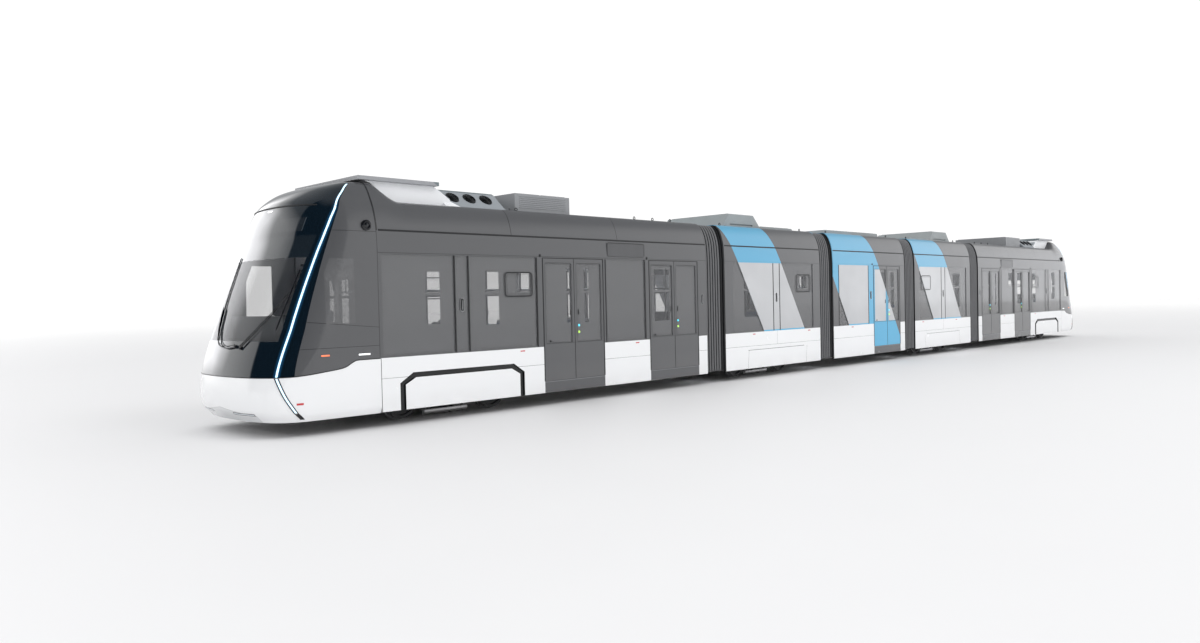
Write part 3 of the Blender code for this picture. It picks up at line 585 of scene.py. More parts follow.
def skirt_paint():
    """White outside, black in the sunk bands over the bogies, and a plain lining grey inside."""
    finish = Finish("white skirt paint", WHITE, 0.25, Coat_Weight=0.5, Coat_Roughness=0.08)
    x, y, z = finish.place()
    along, depth = abs(x), abs(y)
    level = z.line(PANEL_SEAM, 0.005) * depth.over(SUNK_FACE)
    upright = along.line(4.47, 0.005) * z.over(PANEL_SEAM) + along.line(14.99, 0.010) * depth.over(SUNK_FACE)
    slanted = abs(along - FLAP_MIDDLE + z * FLAP_SLANT).line(FLAP_HALF, 0.006)
    slanted = slanted * (1 - z.over(FLAP_SEAM)) * (1 - along.over(6.5))
    flap_top = z.line(FLAP_SEAM, 0.010) * along.within(*FLAP_ENDS)
    painted(finish, WHITE, joined_lines(level, upright, slanted, flap_top), 0.26, dust_top=0.5, dust=0.25)
    doorways = sum([along.within(*door) for door in DOORS["a"]], x.within(*DOORS["c"][0]))
    sill = finish.mix(z.line(SILL_LINE, 0.012), GREY, SILL_GREY)
    outside = finish.mix(doorways * (1 - z.over(SILL_TOP)), finish.colour_so_far(), sill)
    inner = finish.mix(z.over(UNDERSIDE, 0.004), PAN_DARK, PAN_GREY)
    sunk = finish.mix(depth.over(WALL_INSIDE), inner, BLACK)
    proud = depth.over(SKIRT_FACE, 0.001)
    finish.set("Base Color", finish.mix(proud, sunk, outside))
    finish.set("Coat Weight", proud * 0.5)
    return finish


SKIRT_WHITE = skirt_paint()
print("skirt paint ready")

# %% [markdown]
# The smaller finishes: rubber, the moulded grey of the roof covers, black grilles, painted and bright steel,
# and the seats and floor that show through the glass. Moulded parts are never one flat colour, so one function
# lets the colour and the gloss drift, and gives a fine grain.


# %% Small finishes
SLOW, FINE_DETAIL, GRAIN = (3.0, 4.0), 2.0, (180.0, 0.0008)


def moulded(name, colour, roughness, scale=GRAIN[0], depth=GRAIN[1], metallic=0.0):
    """A finish whose colour and gloss drift with a slow noise and whose grain is a fine one."""
    finish = Finish(name, colour, roughness, metallic)
    slow, fine = finish.noise(*SLOW), finish.noise(scale, FINE_DETAIL)
    darker = tuple(c * 0.82 for c in colour)
    finish.set("Base Color", finish.mix(slow, colour, darker))
    finish.set("Roughness", slow * 0.12 + (roughness - 0.06))
    finish.bump(fine, depth, 0.5)
    return finish


RUBBER = moulded("black rubber", (0.010, 0.011, 0.013), 0.45)
BELLOWS = moulded("ribbed hood rubber", (0.175, 0.178, 0.186), 0.55, 300.0)
ROOF_GREY = moulded("roof cover grey", (0.33, 0.36, 0.37), 0.45)
GRILLE_BLACK = moulded("grille black", (0.008, 0.009, 0.011), 0.35)
STEEL_DARK = moulded("painted bogie steel", (0.028, 0.030, 0.034), 0.48, 90.0, 0.001)
STEEL_BRIGHT = moulded("bright rolled steel", (0.42, 0.42, 0.43), 0.28, 400.0, 0.0003, 1.0)
TRIM_BLACK = moulded("gloss black trim", (0.008, 0.009, 0.012), 0.16)
SEAT_CLOTH = moulded("seat cloth", (0.05, 0.09, 0.16), 0.8, 700.0, 0.002)
FLOOR_COVER = moulded("flecked floor cover", (0.10, 0.105, 0.115), 0.6, 500.0, 0.0005)
PALE_METAL = moulded("brushed handle metal", (0.62, 0.63, 0.65), 0.3, 300.0, 0.0003, 0.9)
BENCH_GREY = moulded("moulded bench shell", (0.22, 0.225, 0.235), 0.4)
CONSOLE_GREY = moulded("grained console grey", (0.10, 0.105, 0.112), 0.55, 400.0, 0.0012)
SIDE_GLASS_DARK = moulded("dark lens glass", (0.02, 0.022, 0.026), 0.08)
DISPLAY_GLASS = moulded("blank display glass", (0.095, 0.097, 0.103), 0.22)
print("moulded finishes ready")

# %% [markdown]
# One solid holds the whole roof unit behind each cab: the grey deck with its white fairing, the fan unit with
# its paler sides, and the plain box. Planes in X and Z tell the finish where one ends and the next begins.

# %% Finish of the roof unit
BOX_GREY, BOX_DARKER = (0.29, 0.30, 0.315), (0.26, 0.27, 0.285)
FAN_SIDE, FAN_TOP = (0.30, 0.325, 0.35), (0.17, 0.205, 0.22)
FAIRING_WHITE, DECK_GREY = (0.86, 0.875, 0.90), (0.33, 0.34, 0.36)
FAN_UNIT_FROM, FAN_TOP_EDGE, DECK_EDGE = 12.1, 3.712, 3.7402
FAIRING_SLOPE, FAIRING_FROM = 1.5, 8.05


def roof_unit_finish():
    """The roof unit behind the cab: a grey deck over a white fairing, and grey covers behind it."""
    finish = Finish("roof unit behind the cab", BOX_GREY, 0.42)
    x, _, z = finish.place()
    slow, fine = finish.noise(*SLOW), finish.noise(GRAIN[0], FINE_DETAIL)
    fan_unit = finish.mix(z.over(FAN_TOP_EDGE), FAN_SIDE, FAN_TOP)
    covers = finish.mix(abs(x).over(FAN_UNIT_FROM), finish.mix(slow, BOX_GREY, BOX_DARKER), fan_unit)
    fairing = (abs(x) - z * FAIRING_SLOPE).over(FAIRING_FROM)
    colour = finish.mix(fairing, covers, FAIRING_WHITE)
    finish.set("Base Color", finish.mix(fairing * z.over(DECK_EDGE, 0.0002), colour, DECK_GREY))
    finish.set("Roughness", slow * 0.12 + 0.36)
    finish.bump(fine, GRAIN[1], 0.5)
    return finish


ROOF_UNIT = roof_unit_finish()
print("roof unit ready")

# %% [markdown]
# Lit and unlit lenses share one recipe. On the unlit headlamps and the red reflectors the glow is painted
# light, for the shine of their glass. Their glow is mixed with noise, because a row of small lamps behind a
# cover never shines quite evenly.


# %% Lenses
def lamp_finish(name, colour, strength):
    """A glowing lens: its glow varies a little along it, as a row of diodes behind a diffuser does."""
    finish = Finish(name, colour, 0.2, Emission_Strength=strength)
    dots = finish.noise(26.0, 0.0)
    paler = tuple(c + (1 - c) * 0.35 for c in colour)
    finish.set("Emission Color", finish.mix(dots, colour, paler))
    return finish


LED = lamp_finish("cool white light strip", (0.50, 0.80, 1.0), 1.15)
AMBER = lamp_finish("orange marker lens", (0.95, 0.18, 0.05), 0.5)
WHITE_LENS = lamp_finish("white marker lens", (0.92, 0.94, 0.96), 0.7)
# The unlit headlamps glow a little all the same: painted light, for the shine of their lenses.
HEADLAMP_LENS_PAINTED_GLOW = lamp_finish("unlit headlamp lens with painted glow", (0.42, 0.45, 0.48), 0.3)
CEILING_LIGHT = lamp_finish("ceiling light cover", (0.84, 0.88, 0.92), 6.0)
# The red reflectors are no lamps: their glow is painted light, for the shine of the reflector.
PAINTED_GLOW_RED_REFLECTOR = lamp_finish("red reflector lens with painted glow", (0.45, 0.012, 0.02), 0.25)
BUTTON_BLUE = lamp_finish("lit blue green button", (0.03, 0.55, 0.70), 0.9)
BUTTON_GREEN = lamp_finish("lit green button", (0.35, 0.65, 0.05), 0.9)
print("lenses ready")

# %% [markdown]
# From outside, the tinted side glass reads as grey as the body, with a few bright views through the tram. A
# grey print on the inner face gives that, and leaves clear openings: the print is painted shade, standing in
# for the dim inside seen through the glass. Each view is listed by its ends along X and its two heights. The
# openings differ between the left and the right, as seen from each half's own cab.

# %% Side glass
MIDDLE_VIEWS = ((5.21, 5.73, 1.39, 2.42), (3.15, 3.50, 1.97, 2.30), (1.15, 1.35, 1.45, 2.42),
                (0.48, 0.78, 1.45, 2.42))
LEFT_VIEWS = ((13.89, 14.15, 1.52, 2.34), (12.70, 12.98, 1.47, 2.36), (12.03, 12.31, 1.99, 2.34),
              (11.06, 11.14, 1.45, 2.42), (10.59, 10.70, 1.44, 2.42), (8.30, 8.76, 1.40, 2.42), *MIDDLE_VIEWS)
RIGHT_VIEWS = ((14.00, 14.36, 1.50, 2.50), (12.01, 12.33, 1.42, 2.46), (10.55, 10.90, 1.40, 2.46),
               (9.74, 10.06, 1.98, 2.46), (8.56, 8.65, 1.40, 2.46), (7.98, 8.09, 1.40, 2.46), *MIDDLE_VIEWS)
MULLION = (1.99, 0.045)
GLASS_TINT, GLASS_SOLID = (0.20, 0.203, 0.213), 0.12
# The grey of the print is painted shade: it stands in for the dim inside of the tram seen through the glass.
PAINTED_SHADE_PRINT, SHADE_PRINT_FACE, CLEARED = (0.125, 0.127, 0.133), 1.315, 0.78
FILM_DARK, FILM_PALE, FILM_SOLID = (0.50, 0.51, 0.53), (0.66, 0.67, 0.69), 0.93


def left_side(x, y):
    """1 on the left of each half, as seen from its own cab, and 0 on the right."""
    return (x * y).over(0, 0.002)


def clear_views(x, y, z):
    """1 in the clear views of the glass. Round them, the inner face of the panes carries a grey print of
    painted shade.
    """
    along, left = abs(x), left_side(x, y)
    total = 0
    for views, here in ((LEFT_VIEWS, left), (RIGHT_VIEWS, 1 - left)):
        for low, high, bottom, top in views:
            total = along.within(low, high, 0.01) * z.within(bottom, top, 0.01) * here + total
    return total * (1 - z.line(*MULLION, 0.004))


def glass_finish(name, filmed):
    """Tinted glass. Its outer face is mostly clear, and its inner face carries a grey print of painted shade
    round clear views. Where it is filmed, the bands of the body go on over it as a silver film."""
    finish = Finish(name, GLASS_TINT, 0.06, Coat_Weight=0.4, Coat_Roughness=0.03)
    x, y, z = finish.place()
    smear = finish.noise(1.6, 3.0)
    finish.set("Roughness", smear * 0.05 + 0.04)
    # Painted shade: the print covers the panes where only the shaded inside would show.
    shade_print = (1 - abs(y).over(SHADE_PRINT_FACE)) * (1 - clear_views(x, y, z) * CLEARED)
    clear = smear * 0.04 + (GLASS_SOLID - 0.02)
    solid = clear + shade_print * (1 - clear)
    tint = finish.mix(smear, GLASS_TINT, tuple(c * 1.15 for c in GLASS_TINT))
    shade = finish.mix(shade_print, tint, PAINTED_SHADE_PRINT)
    if filmed:
        film = band_mask(x, z) * (1 - shade_print)
        shade = finish.mix(film, shade, finish.mix(finish.noise(1.1, 2.0), FILM_DARK, FILM_PALE))
        solid = film * (FILM_SOLID - GLASS_SOLID) + solid
    finish.set("Base Color", shade)
    finish.set("Alpha", solid)
    return finish


SIDE_GLASS = glass_finish("grey tinted side glass", False)
FILM_GLASS = glass_finish("side glass with silver film", True)
print("materials", len(bpy.data.materials))

# %% [markdown]
# Most solids keep their own shape and only take a finish. The table names the finish for each kind of node.


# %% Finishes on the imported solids
def dress(prefix, finish):
    """Puts one finish on every node whose name starts with the prefix."""
    for name, node in NODES.items():
        if name.startswith(prefix):
            node.data.materials.clear()
            node.data.materials.append(finish.material)


for prefix, finish in (("underframe", SKIRT_WHITE), ("shell_a", BODY_GREY), ("shell_e", BODY_GREY),
                       ("shell_b", BANDED_GREY), ("shell_c", BANDED_GREY), ("shell_d", BANDED_GREY),
                       ("cab_shell", BODY_GREY), ("windscreen", SIDE_GLASS), ("bumper", SKIRT_WHITE),
                       ("glazing_a", SIDE_GLASS), ("glazing_e", SIDE_GLASS), ("glazing_b", FILM_GLASS),
                       ("glazing_c", FILM_GLASS), ("glazing_d", FILM_GLASS), ("doors_a", BODY_GREY),
                       ("doors_e", BODY_GREY), ("doors_c", BANDED_GREY), ("bellows", BELLOWS),
                       ("roof_equipment", ROOF_UNIT), ("roof_box", ROOF_GREY), ("roof_cover", ROOF_GREY),
                       ("bogie_frame", STEEL_DARK), ("wheelset", STEEL_DARK)):
    dress(prefix, finish)
print("dressed", len(NODES), "nodes")

# %% [markdown]
# The nose is one flowing surface. Horizontal slices through it are rounded outlines between a raked centre line
# and the width of the body, and two powers set how square their corners are. It could be pulled out of a cage
# of subdivided faces, but then its seams and lamps would drift. Worked out from its slices, every line that is
# drawn on it can be placed exactly.

# %% The nose surface
SIDE = 1.325
SEAM_X = 15.0
BUMPER_FOOT, SPLIT_FRONT, COWL_TOP = 0.22, 0.86, 3.735
NOSE_LINE = np.array([(BUMPER_FOOT, 16.72), (0.40, 16.86), (0.60, 16.89), (SPLIT_FRONT, 16.865), (1.51, 16.68),
                      (2.78, 16.20), (3.34, 15.98), (3.55, 15.75), (3.68, 15.45), (3.72, 15.18),
                      (COWL_TOP, SEAM_X)])
HALF_WIDTHS = np.array([(BUMPER_FOOT, 1.295), (0.33, SIDE), (2.63, SIDE), (2.96, 1.305), (3.23, 1.245),
                        (3.48, 1.13), (3.63, 1.03), (3.70, 0.93), (3.725, 0.60), (COWL_TOP, 0.0)])
CORNER_POWERS = np.array([(BUMPER_FOOT, 9.2), (SPLIT_FRONT, 9.2), (1.51, 7.1), (2.78, 5.1), (3.29, 4.3),
                          (COWL_TOP, 3.4)])
WIDTH_POWER = 2.3
FRONT_SHARE, SHORTEST = 0.96, 0.6


def smooth_read(table, at):
    """Reads a table as one smooth curve that never overshoots: cubic pieces between its rows, whose slopes are
    the harmonic means of the straight slopes on both sides, and zero at a peak."""
    knots, values = table[:, 0], table[:, 1]
    steps = np.diff(knots)
    rises = np.diff(values) / steps
    product, total = rises[1:] * rises[:-1], rises[1:] + rises[:-1]
    slopes = np.zeros(len(knots))
    slopes[1:-1] = np.where(product > 0, 2 * product / np.where(total == 0, 1, total), 0)
    slopes[0], slopes[-1] = rises[0], rises[-1]
    at = np.clip(at, knots[0], knots[-1])
    piece = np.clip(np.searchsorted(knots, at, side="right") - 1, 0, len(steps) - 1)
    step = steps[piece]
    t = (at - knots[piece]) / step
    start, end = values[piece], values[piece + 1]
    return (start * (1 + 2 * t) * (1 - t) ** 2 + end * t * t * (3 - 2 * t)
            + step * (slopes[piece] * t * (1 - t) ** 2 - slopes[piece + 1] * t * t * (1 - t)))


def nose(share, z, inset=0.0):
    """Points of the nose. The share runs from 0 on the centre line over 1, where the front ends at 0.96 of the
    width, to 2 at the body seam, and a minus sign is the right side. In front the width is the share's, and the
    reach forward is (1 - width^2.3)^(1/power). On the side the reach falls evenly to the seam, and the width is
    (1 - reach^power)^(1/2.3). An inset shrinks both."""
    share, z = np.broadcast_arrays(np.asarray(share, float), np.asarray(z, float))
    power = np.interp(z, CORNER_POWERS[:, 0], CORNER_POWERS[:, 1])
    length, width = smooth_read(NOSE_LINE, z) - SEAM_X, smooth_read(HALF_WIDTHS, z)
    length = np.maximum(length * (1 - inset / np.maximum(length, SHORTEST)), 0)
    width = np.maximum(width * (1 - inset / np.maximum(width, SHORTEST)), 0)
    side = np.abs(share)
    reach = (1 - (FRONT_SHARE * np.minimum(side, 1)) ** WIDTH_POWER) ** (1 / power)
    reach = reach * np.clip(2 - side, 0, 1) ** (side > 1)
    across = np.maximum(1 - reach**power, 0) ** (1 / WIDTH_POWER)
    return np.stack([SEAM_X + length * reach, np.sign(share) * width * across, z], axis=-1)


FRONT_COLUMNS = 1 - (1 - np.linspace(0, 1, 34)) ** 1.35
SIDE_COLUMNS = np.linspace(1, 2, 30)[1:]
HALF_SHARES = np.concatenate([FRONT_COLUMNS, SIDE_COLUMNS])
SHARES = np.concatenate([-HALF_SHARES[:0:-1], HALF_SHARES])
print("nose columns", len(SHARES))

# %% [markdown]
# A light strip climbs each corner of the nose in a nearly straight line, which drifts back a little under the
# roof. Many things are placed by it, so the way behind it is measured along the surface, at each height.

# %% The line of the light strip
LED_AT = 0.906 / FRONT_SHARE
LED_DRIFT = np.array([(BUMPER_FOOT, 0.0), (SPLIT_FRONT, -0.004), (1.4, 0.0), (2.0, 0.008), (2.6, 0.028),
                      (2.87, 0.056), (3.12, 0.098), (3.28, 0.128), (3.5, 0.125), (COWL_TOP, 0.06)])


def run_along(rows):
    """Distance along each row of points, from its first point."""
    steps = np.linalg.norm(np.diff(rows, axis=-2), axis=-1)
    return np.concatenate([np.zeros((*steps.shape[:-1], 1)), np.cumsum(steps, axis=-1)], axis=-1)


def behind_led(points):
    """How far each point of a row lies behind the light strip, along the surface."""
    length = run_along(points)
    middle = len(SHARES) // 2
    from_centre = np.abs(length - length[:, middle:middle + 1])
    led = np.stack([np.interp(LED_AT, SHARES[middle:], row[middle:]) for row in from_centre])
    return from_centre - led[:, None] - smooth_read(LED_DRIFT, points[..., 2])


print("light strip at", round(LED_AT, 3), "of the front")

# %% [markdown]
# Both cabs wear one skin over the nose surface, from the edge of the white bumper up to the dome of the roof.
# The real one is a dark glossy mask with the windscreen bonded into it, a light strip up each corner and
# painted sides behind that. The skin's own map holds the distance behind the light strip and the height, so
# the finish draws mask, glass and seams where they belong.

# %% Cab finish
NAVY, SHADE_NAVY, DISPLAY_NAVY = (0.0028, 0.008, 0.014), (0.010, 0.016, 0.022), (0.016, 0.021, 0.027)
RIM_GREY, SCREEN_TINT = (0.05, 0.06, 0.07), (0.03, 0.035, 0.042)
# The halo is painted light: a blue glow on the mask for the strip's light falling on it.
HALO_BLUE, HALO_TOP = (0.01, 0.10, 0.24), (3.3, 0.4)
MASK_BACK, MASK_TAPER = 0.31, 0.08
SCREEN_EDGE, SCREEN_BOTTOM, SCREEN_TOP, SHADE_TOP = -0.12, 1.36, 2.54, 2.86
SIDE_LIGHT, SIDE_LIGHT_FROM = ((15.40, 15.86), (1.58, 2.52)), 0.2
DISPLAY_HALF, DISPLAY_LEVELS = 0.95, (2.93, 3.13)
CAB_SEAMS, BACK_SEAM = (2.93, 1.235), 15.008
RISING_SEAM_SLOPE, RISING_SEAM_FOOT = 0.094, 0.096
LEFT_THROUGH, RIGHT_MORE = 0.19, 0.62


def cab_windows(finish, behind, height):
    """Masks of the windscreen, which ends a little before the light strip, and of the side windows."""
    x = abs(finish.place()[0])
    screen = (1 - behind.over(SCREEN_EDGE, 0.01)) * height.within(SCREEN_BOTTOM, SCREEN_TOP, 0.01)
    side = x.within(*SIDE_LIGHT[0], 0.01) * height.within(*SIDE_LIGHT[1], 0.01)
    return screen, side * behind.over(SIDE_LIGHT_FROM, 0.01)


def cab_lining():
    """The inner side of the cab wall, cut away where the windows are."""
    finish = Finish("cab lining", INNER_LINING, 0.5)
    screen, side = cab_windows(finish, *finish.skin())
    slow = finish.noise(*SLOW)
    finish.set("Base Color", finish.mix(slow, INNER_LINING, tuple(c * 0.8 for c in INNER_LINING)))
    finish.set("Roughness", slow * 0.1 + 0.45)
    finish.set("Alpha", (1 - screen) * (1 - side))
    return finish


def mask_colour(finish, behind, height):
    """The dark mask: navy, a paler shade band over the windscreen, and the blank display in its rim."""
    across = abs(finish.place()[1])
    front = 1 - behind.over(0, 0.01)
    shade_band = (1 - behind.over(-0.10, 0.01)) * height.within(SCREEN_TOP, SHADE_TOP, 0.01)
    display = (1 - across.over(DISPLAY_HALF, 0.006)) * height.within(*DISPLAY_LEVELS, 0.006) * front
    rim = across.line(DISPLAY_HALF, 0.012) * height.within(*DISPLAY_LEVELS, 0.004) * front
    dark = finish.mix(display, finish.mix(shade_band, NAVY, SHADE_NAVY), DISPLAY_NAVY)
    return finish.mix(rim, dark, RIM_GREY)


def cab_seam_lines(along, height):
    """Seams of the painted sides: two level ones, one that rises to the front, and the joint with the body."""
    rising = (height - along * RISING_SEAM_SLOPE).line(RISING_SEAM_FOOT, 0.007)
    back = along.line(BACK_SEAM, SEAM_WIDTH) * (height.over(SHOULDER_FOOT) * 0.4 + 0.6)
    return height.line(CAB_SEAMS[0], 0.007) + height.line(CAB_SEAMS[1], 0.007) + rising + back


def cab_paint():
    """Navy gloss before a line behind the light strip, and grey paint after it. The windscreen and the right
    side window are clear, the left one mostly carries the grey print of painted shade, and a faint blue glow of
    painted light lies along the light strip."""
    finish = Finish("cab mask and side paint", NAVY, 0.10, Coat_Weight=1.0, Coat_Roughness=0.02)
    x, y, _ = finish.place()
    behind, height = finish.skin()
    mask = 1 - (behind + height * MASK_TAPER).over(MASK_BACK, 0.004)
    screen, side = cab_windows(finish, behind, height)
    lines = joined_lines(cab_seam_lines(abs(x), height) * (1 - mask))
    base = finish.mix(mask, finish.mix(lines, GREY, SEAM_COLOUR), mask_colour(finish, behind, height))
    # Both cab side windows take the print's grey, which is painted shade for the dim cab behind them.
    finish.set("Base Color", finish.mix(side, finish.mix(screen, base, SCREEN_TINT), PAINTED_SHADE_PRINT))
    finish.set("Roughness", (1 - mask) * 0.30 + finish.noise(*CLOUD) * 0.05 + 0.05)
    finish.set("Coat Weight", mask * 0.3 + 0.7)
    grazing = finish.node("ShaderNodeLayerWeight", None, {"Blend": 0.75}, "Facing")
    clear = grazing * 0.5 + 0.07
    through = (1 - left_side(x, y)) * RIGHT_MORE + LEFT_THROUGH
    finish.set("Alpha", 1 - screen * (1 - clear) - side * through)
    # Painted light: the mask itself glows faint blue beside the strip, for the strip's light spilling onto it.
    halo = (1 - abs(behind).over(0.030, 0.050)) * mask * (1 - height.over(*HALO_TOP))
    finish.set("Emission Color", finish.mix(halo, (0, 0, 0), HALO_BLUE))
    finish.shader.inputs["Emission Strength"].default_value = 0.8
    finish.bump(finish.noise(*PEEL) * (1 - mask) * PEEL_HEIGHT - lines, SEAM_DEPTH, SEAM_STRENGTH)
    return finish


CAB_PAINT, CAB_LINING = cab_paint(), cab_lining()
print("cab finishes ready")

# %% [markdown]
# The cab's skin is a thin wall of two grids. Its rows are spaced evenly along the outline, because even steps
# in height would leave the flat dome with hardly any. The lowest rows follow the joint with the bumper, which
# climbs over a soft step on each side, and level out above it.

# %% Cab skins
ENDS = (("front", 1, "section_a"), ("rear", -1, "section_e"))
SPLIT_LINE = np.array([(0, SPLIT_FRONT), (1, 0.862), (1.15, 0.872), (1.35, 0.90), (1.55, 0.935), (1.60, 0.955),
                       (1.66, 1.005), (1.71, 1.035), (1.76, 1.04), (2, 1.04)])
CAB_WALL, ROW_COUNT = 0.028, 96
LEVELLING, SPLIT_GAP = 1.30, 0.004
DOME_FROM, DOME_RISE = 3.2, 0.5


def even_heights(low, high, count):
    """Heights spaced evenly along the nose's outline, so the flat dome gets as many rows as the steep front."""
    z = np.linspace(low, high, 2000)
    run = run_along(np.stack([smooth_read(NOSE_LINE, z), smooth_read(HALF_WIDTHS, z), z], axis=1))
    return np.interp(np.linspace(0, run[-1], count), run, z)


def split_height(share):
    """Where the cab meets the white bumper: low in front, and up over a soft step on the side."""
    return smooth_read(SPLIT_LINE, np.abs(share))


def nose_wall(heights, thickness):
    """Outer and inner grids over the whole nose at a grid of heights, the inner one lower under the dome."""
    outer, inner = nose(SHARES[None], heights), nose(SHARES[None], heights, thickness)
    inner[..., 2] -= np.clip((heights - DOME_FROM) / DOME_RISE, 0, 1) * thickness
    return outer, inner


def skin_map(outer):
    """Map coordinates of a nose skin, the same on the inner wall: distance behind the strip, and height."""
    flat = np.stack([behind_led(outer), outer[..., 2]], axis=-1).reshape(-1, 2)
    return np.concatenate([flat, flat])


base_heights = even_heights(SPLIT_FRONT, COWL_TOP - 0.0004, ROW_COUNT)[:, None]
split = split_height(SHARES)[None]
lifted = split + (base_heights - SPLIT_FRONT) / (LEVELLING - SPLIT_FRONT) * (LEVELLING - split)
cab_heights = np.where(base_heights < LEVELLING, lifted, base_heights)
cab_heights[0] += SPLIT_GAP
cab_outer, cab_inner = nose_wall(cab_heights, CAB_WALL)
cab_part = lined(wall(cab_outer, cab_inner), *cab_outer.shape[:2])
for end, sign, body in ENDS:
    skin = object_of(f"cab_skin_{end}", at_end([cab_part], sign), [CAB_PAINT, CAB_LINING], body,
                     skin_map(cab_outer), crease=50)
    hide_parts(f"cab_shell_{end}", f"windscreen_{end}")
print("cab skin faces", len(cab_part[1]))

# %% [markdown]
# Under the mask sits the white bumper. It follows the same nose surface down to the skirt, with a soft return
# at its lower edge. Two shapes modelled apart would hardly meet so evenly as two parts of one surface do.

# %% Bumpers
BUMPER_WALL, BUMPER_GAP = 0.055, 0.008
CHIN_DROOP, CHIN_HALF, CHIN_SHADE_GREY = 0.11, 0.88, (0.50, 0.52, 0.54)


def bumper_paint():
    """White gloss, with a thin joint that droops to both sides over a chin in painted shade, slightly greyer,
    where its underside facet turns from the light.
    """
    finish = Finish("white bumper paint", WHITE, 0.18, Coat_Weight=0.8, Coat_Roughness=0.04)
    _, y, z = finish.place()
    above_chin = z + abs(y) * CHIN_DROOP
    narrow = 1 - abs(y).over(CHIN_HALF, 0.01)
    joint = above_chin.line(0.412, 0.006) * narrow
    painted(finish, WHITE, joint * 0.6, 0.20, dust_top=0.45, dust=0.18)
    # The chin's grey is painted shade, where the underside facet of the bumper turns away from the light.
    chin = (1 - above_chin.over(0.408, 0.004)) * narrow
    finish.set("Base Color", finish.mix(chin * 0.5, finish.colour_so_far(), CHIN_SHADE_GREY))
    return finish


BUMPER_WHITE = bumper_paint()
bumper_levels = np.concatenate([np.linspace(0, 0.16, 6), np.linspace(0.16, 1, 26)[1:]])[:, None]
bumper_heights = BUMPER_FOOT + bumper_levels * (split - BUMPER_GAP - BUMPER_FOOT)
bumper_part = wall(*nose_wall(bumper_heights, BUMPER_WALL))
for end, sign, body in ENDS:
    skin = object_of(f"bumper_skin_{end}", at_end([bumper_part], sign), BUMPER_WHITE, body,
                     crease=50)
    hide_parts(f"bumper_{end}")
print("bumper rows", len(bumper_levels))

# %% [markdown]
# The upper sides of the body curve over into the roof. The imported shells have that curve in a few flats, so a
# thin smooth skin lies over each of them. Near the cab it swells up to the dome, and dips down behind it.

# %% Shoulder skins
SHOULDER = np.array([(SIDE, 2.63), (1.305, 2.96), (1.245, 3.20), (1.15, 3.36), (1.05, 3.42), (0.93, 3.42),
                     (0.60, 3.42)])
COWL_SHOULDER = np.array([(SIDE, 2.63), (1.305, 2.96), (1.245, 3.23), (1.13, 3.48), (1.03, 3.63), (0.93, 3.70),
                          (0.60, 3.725)])
DIP_FRONT, DIP_BACK = 14.93, 14.43
SPANS = {"a": (7.1105, 14.9995), "b": (2.5905, 6.4595), "c": (-1.9395, 1.9395)}
SECTIONS = (("a", "a", 1), ("b", "b", 1), ("c", "c", 1), ("d", "b", -1), ("e", "a", -1))
SKIN_PROUD, SKIN_DEEP = 0.0018, 0.004


def cowl_weight(x):
    """1 under the cab's dome and 0 behind the dip, with a smooth step between."""
    t = np.clip((x - DIP_BACK) / (DIP_FRONT - DIP_BACK), 0, 1)
    return t * t * (3 - 2 * t)


def moved_out(line, distance):
    """A line of (Y, Z) moved by a distance along its own outward direction."""
    ahead = np.gradient(line, axis=0)
    outward = np.stack([ahead[:, 1], -ahead[:, 0]], axis=1)
    outward /= np.linalg.norm(outward, axis=1, keepdims=True)
    return line + outward * distance


def shoulder_line(weight, proud, count=30):
    """Y and Z along the shoulder, as a smooth curve through its flats, moved out by a distance."""
    points = (1 - weight) * SHOULDER + weight * COWL_SHOULDER
    knots = run_along(points)
    at = np.linspace(0, knots[-1], count)
    line = np.stack([smooth_read(np.stack([knots, points[:, i]], 1), at) for i in (0, 1)], axis=1)
    return moved_out(line, proud)


def shoulder_skin(low, high):
    """A thin wall over the shoulder, with more lines of points where it dips behind the cab."""
    dip = np.clip(np.linspace(14.40, 14.96, 29), low, high)
    stations = np.unique(np.concatenate([np.linspace(low, high, 9), dip]))
    weights = cowl_weight(stations)
    return wall(*(grid_along(stations, np.stack([shoulder_line(w, proud) for w in weights]))
                  for proud in (SKIN_PROUD, -SKIN_DEEP)))


for letter, like, sign in SECTIONS:
    part = shoulder_skin(*SPANS[like])
    paint = BODY_GREY if like == "a" else BANDED_GREY
    object_of(f"shoulder_skin_{letter}", [placed(part, sign, 1), placed(part, sign, -1)], paint,
              f"section_{letter}", crease=50)
print("shoulder skins", len(SECTIONS))

# %% [markdown]
# A black line runs along the cantrail, where the roof panels meet the sides. It is a rubber strip, half sunk.
# The finish could draw it, but only a real strip stands proud where one looks along the side.

# %% Cantrail strips
CANTRAIL_Y, CANTRAIL_LEVEL, CANTRAIL_HALF = 1.3055, 2.958, 0.014
for letter, like, sign in SECTIONS:
    low, high = SPANS[like]
    strip = bar((low + 0.004, CANTRAIL_Y - 0.006, CANTRAIL_LEVEL - CANTRAIL_HALF),
                (high - 0.03, CANTRAIL_Y + 0.007, CANTRAIL_LEVEL + CANTRAIL_HALF))
    object_of(f"cantrail_strips_{letter}", [placed(strip, sign, side) for side in (1, -1)], RUBBER,
              f"section_{letter}")
print("cantrail strips ready")

# %% [markdown]
# The gangway hoods are rubber folded round the opening. One is a row of rounded crests and sharp valleys
# along X, carried over an arch that follows the body's outline. It belongs to both sections, so it rides on
# neither.

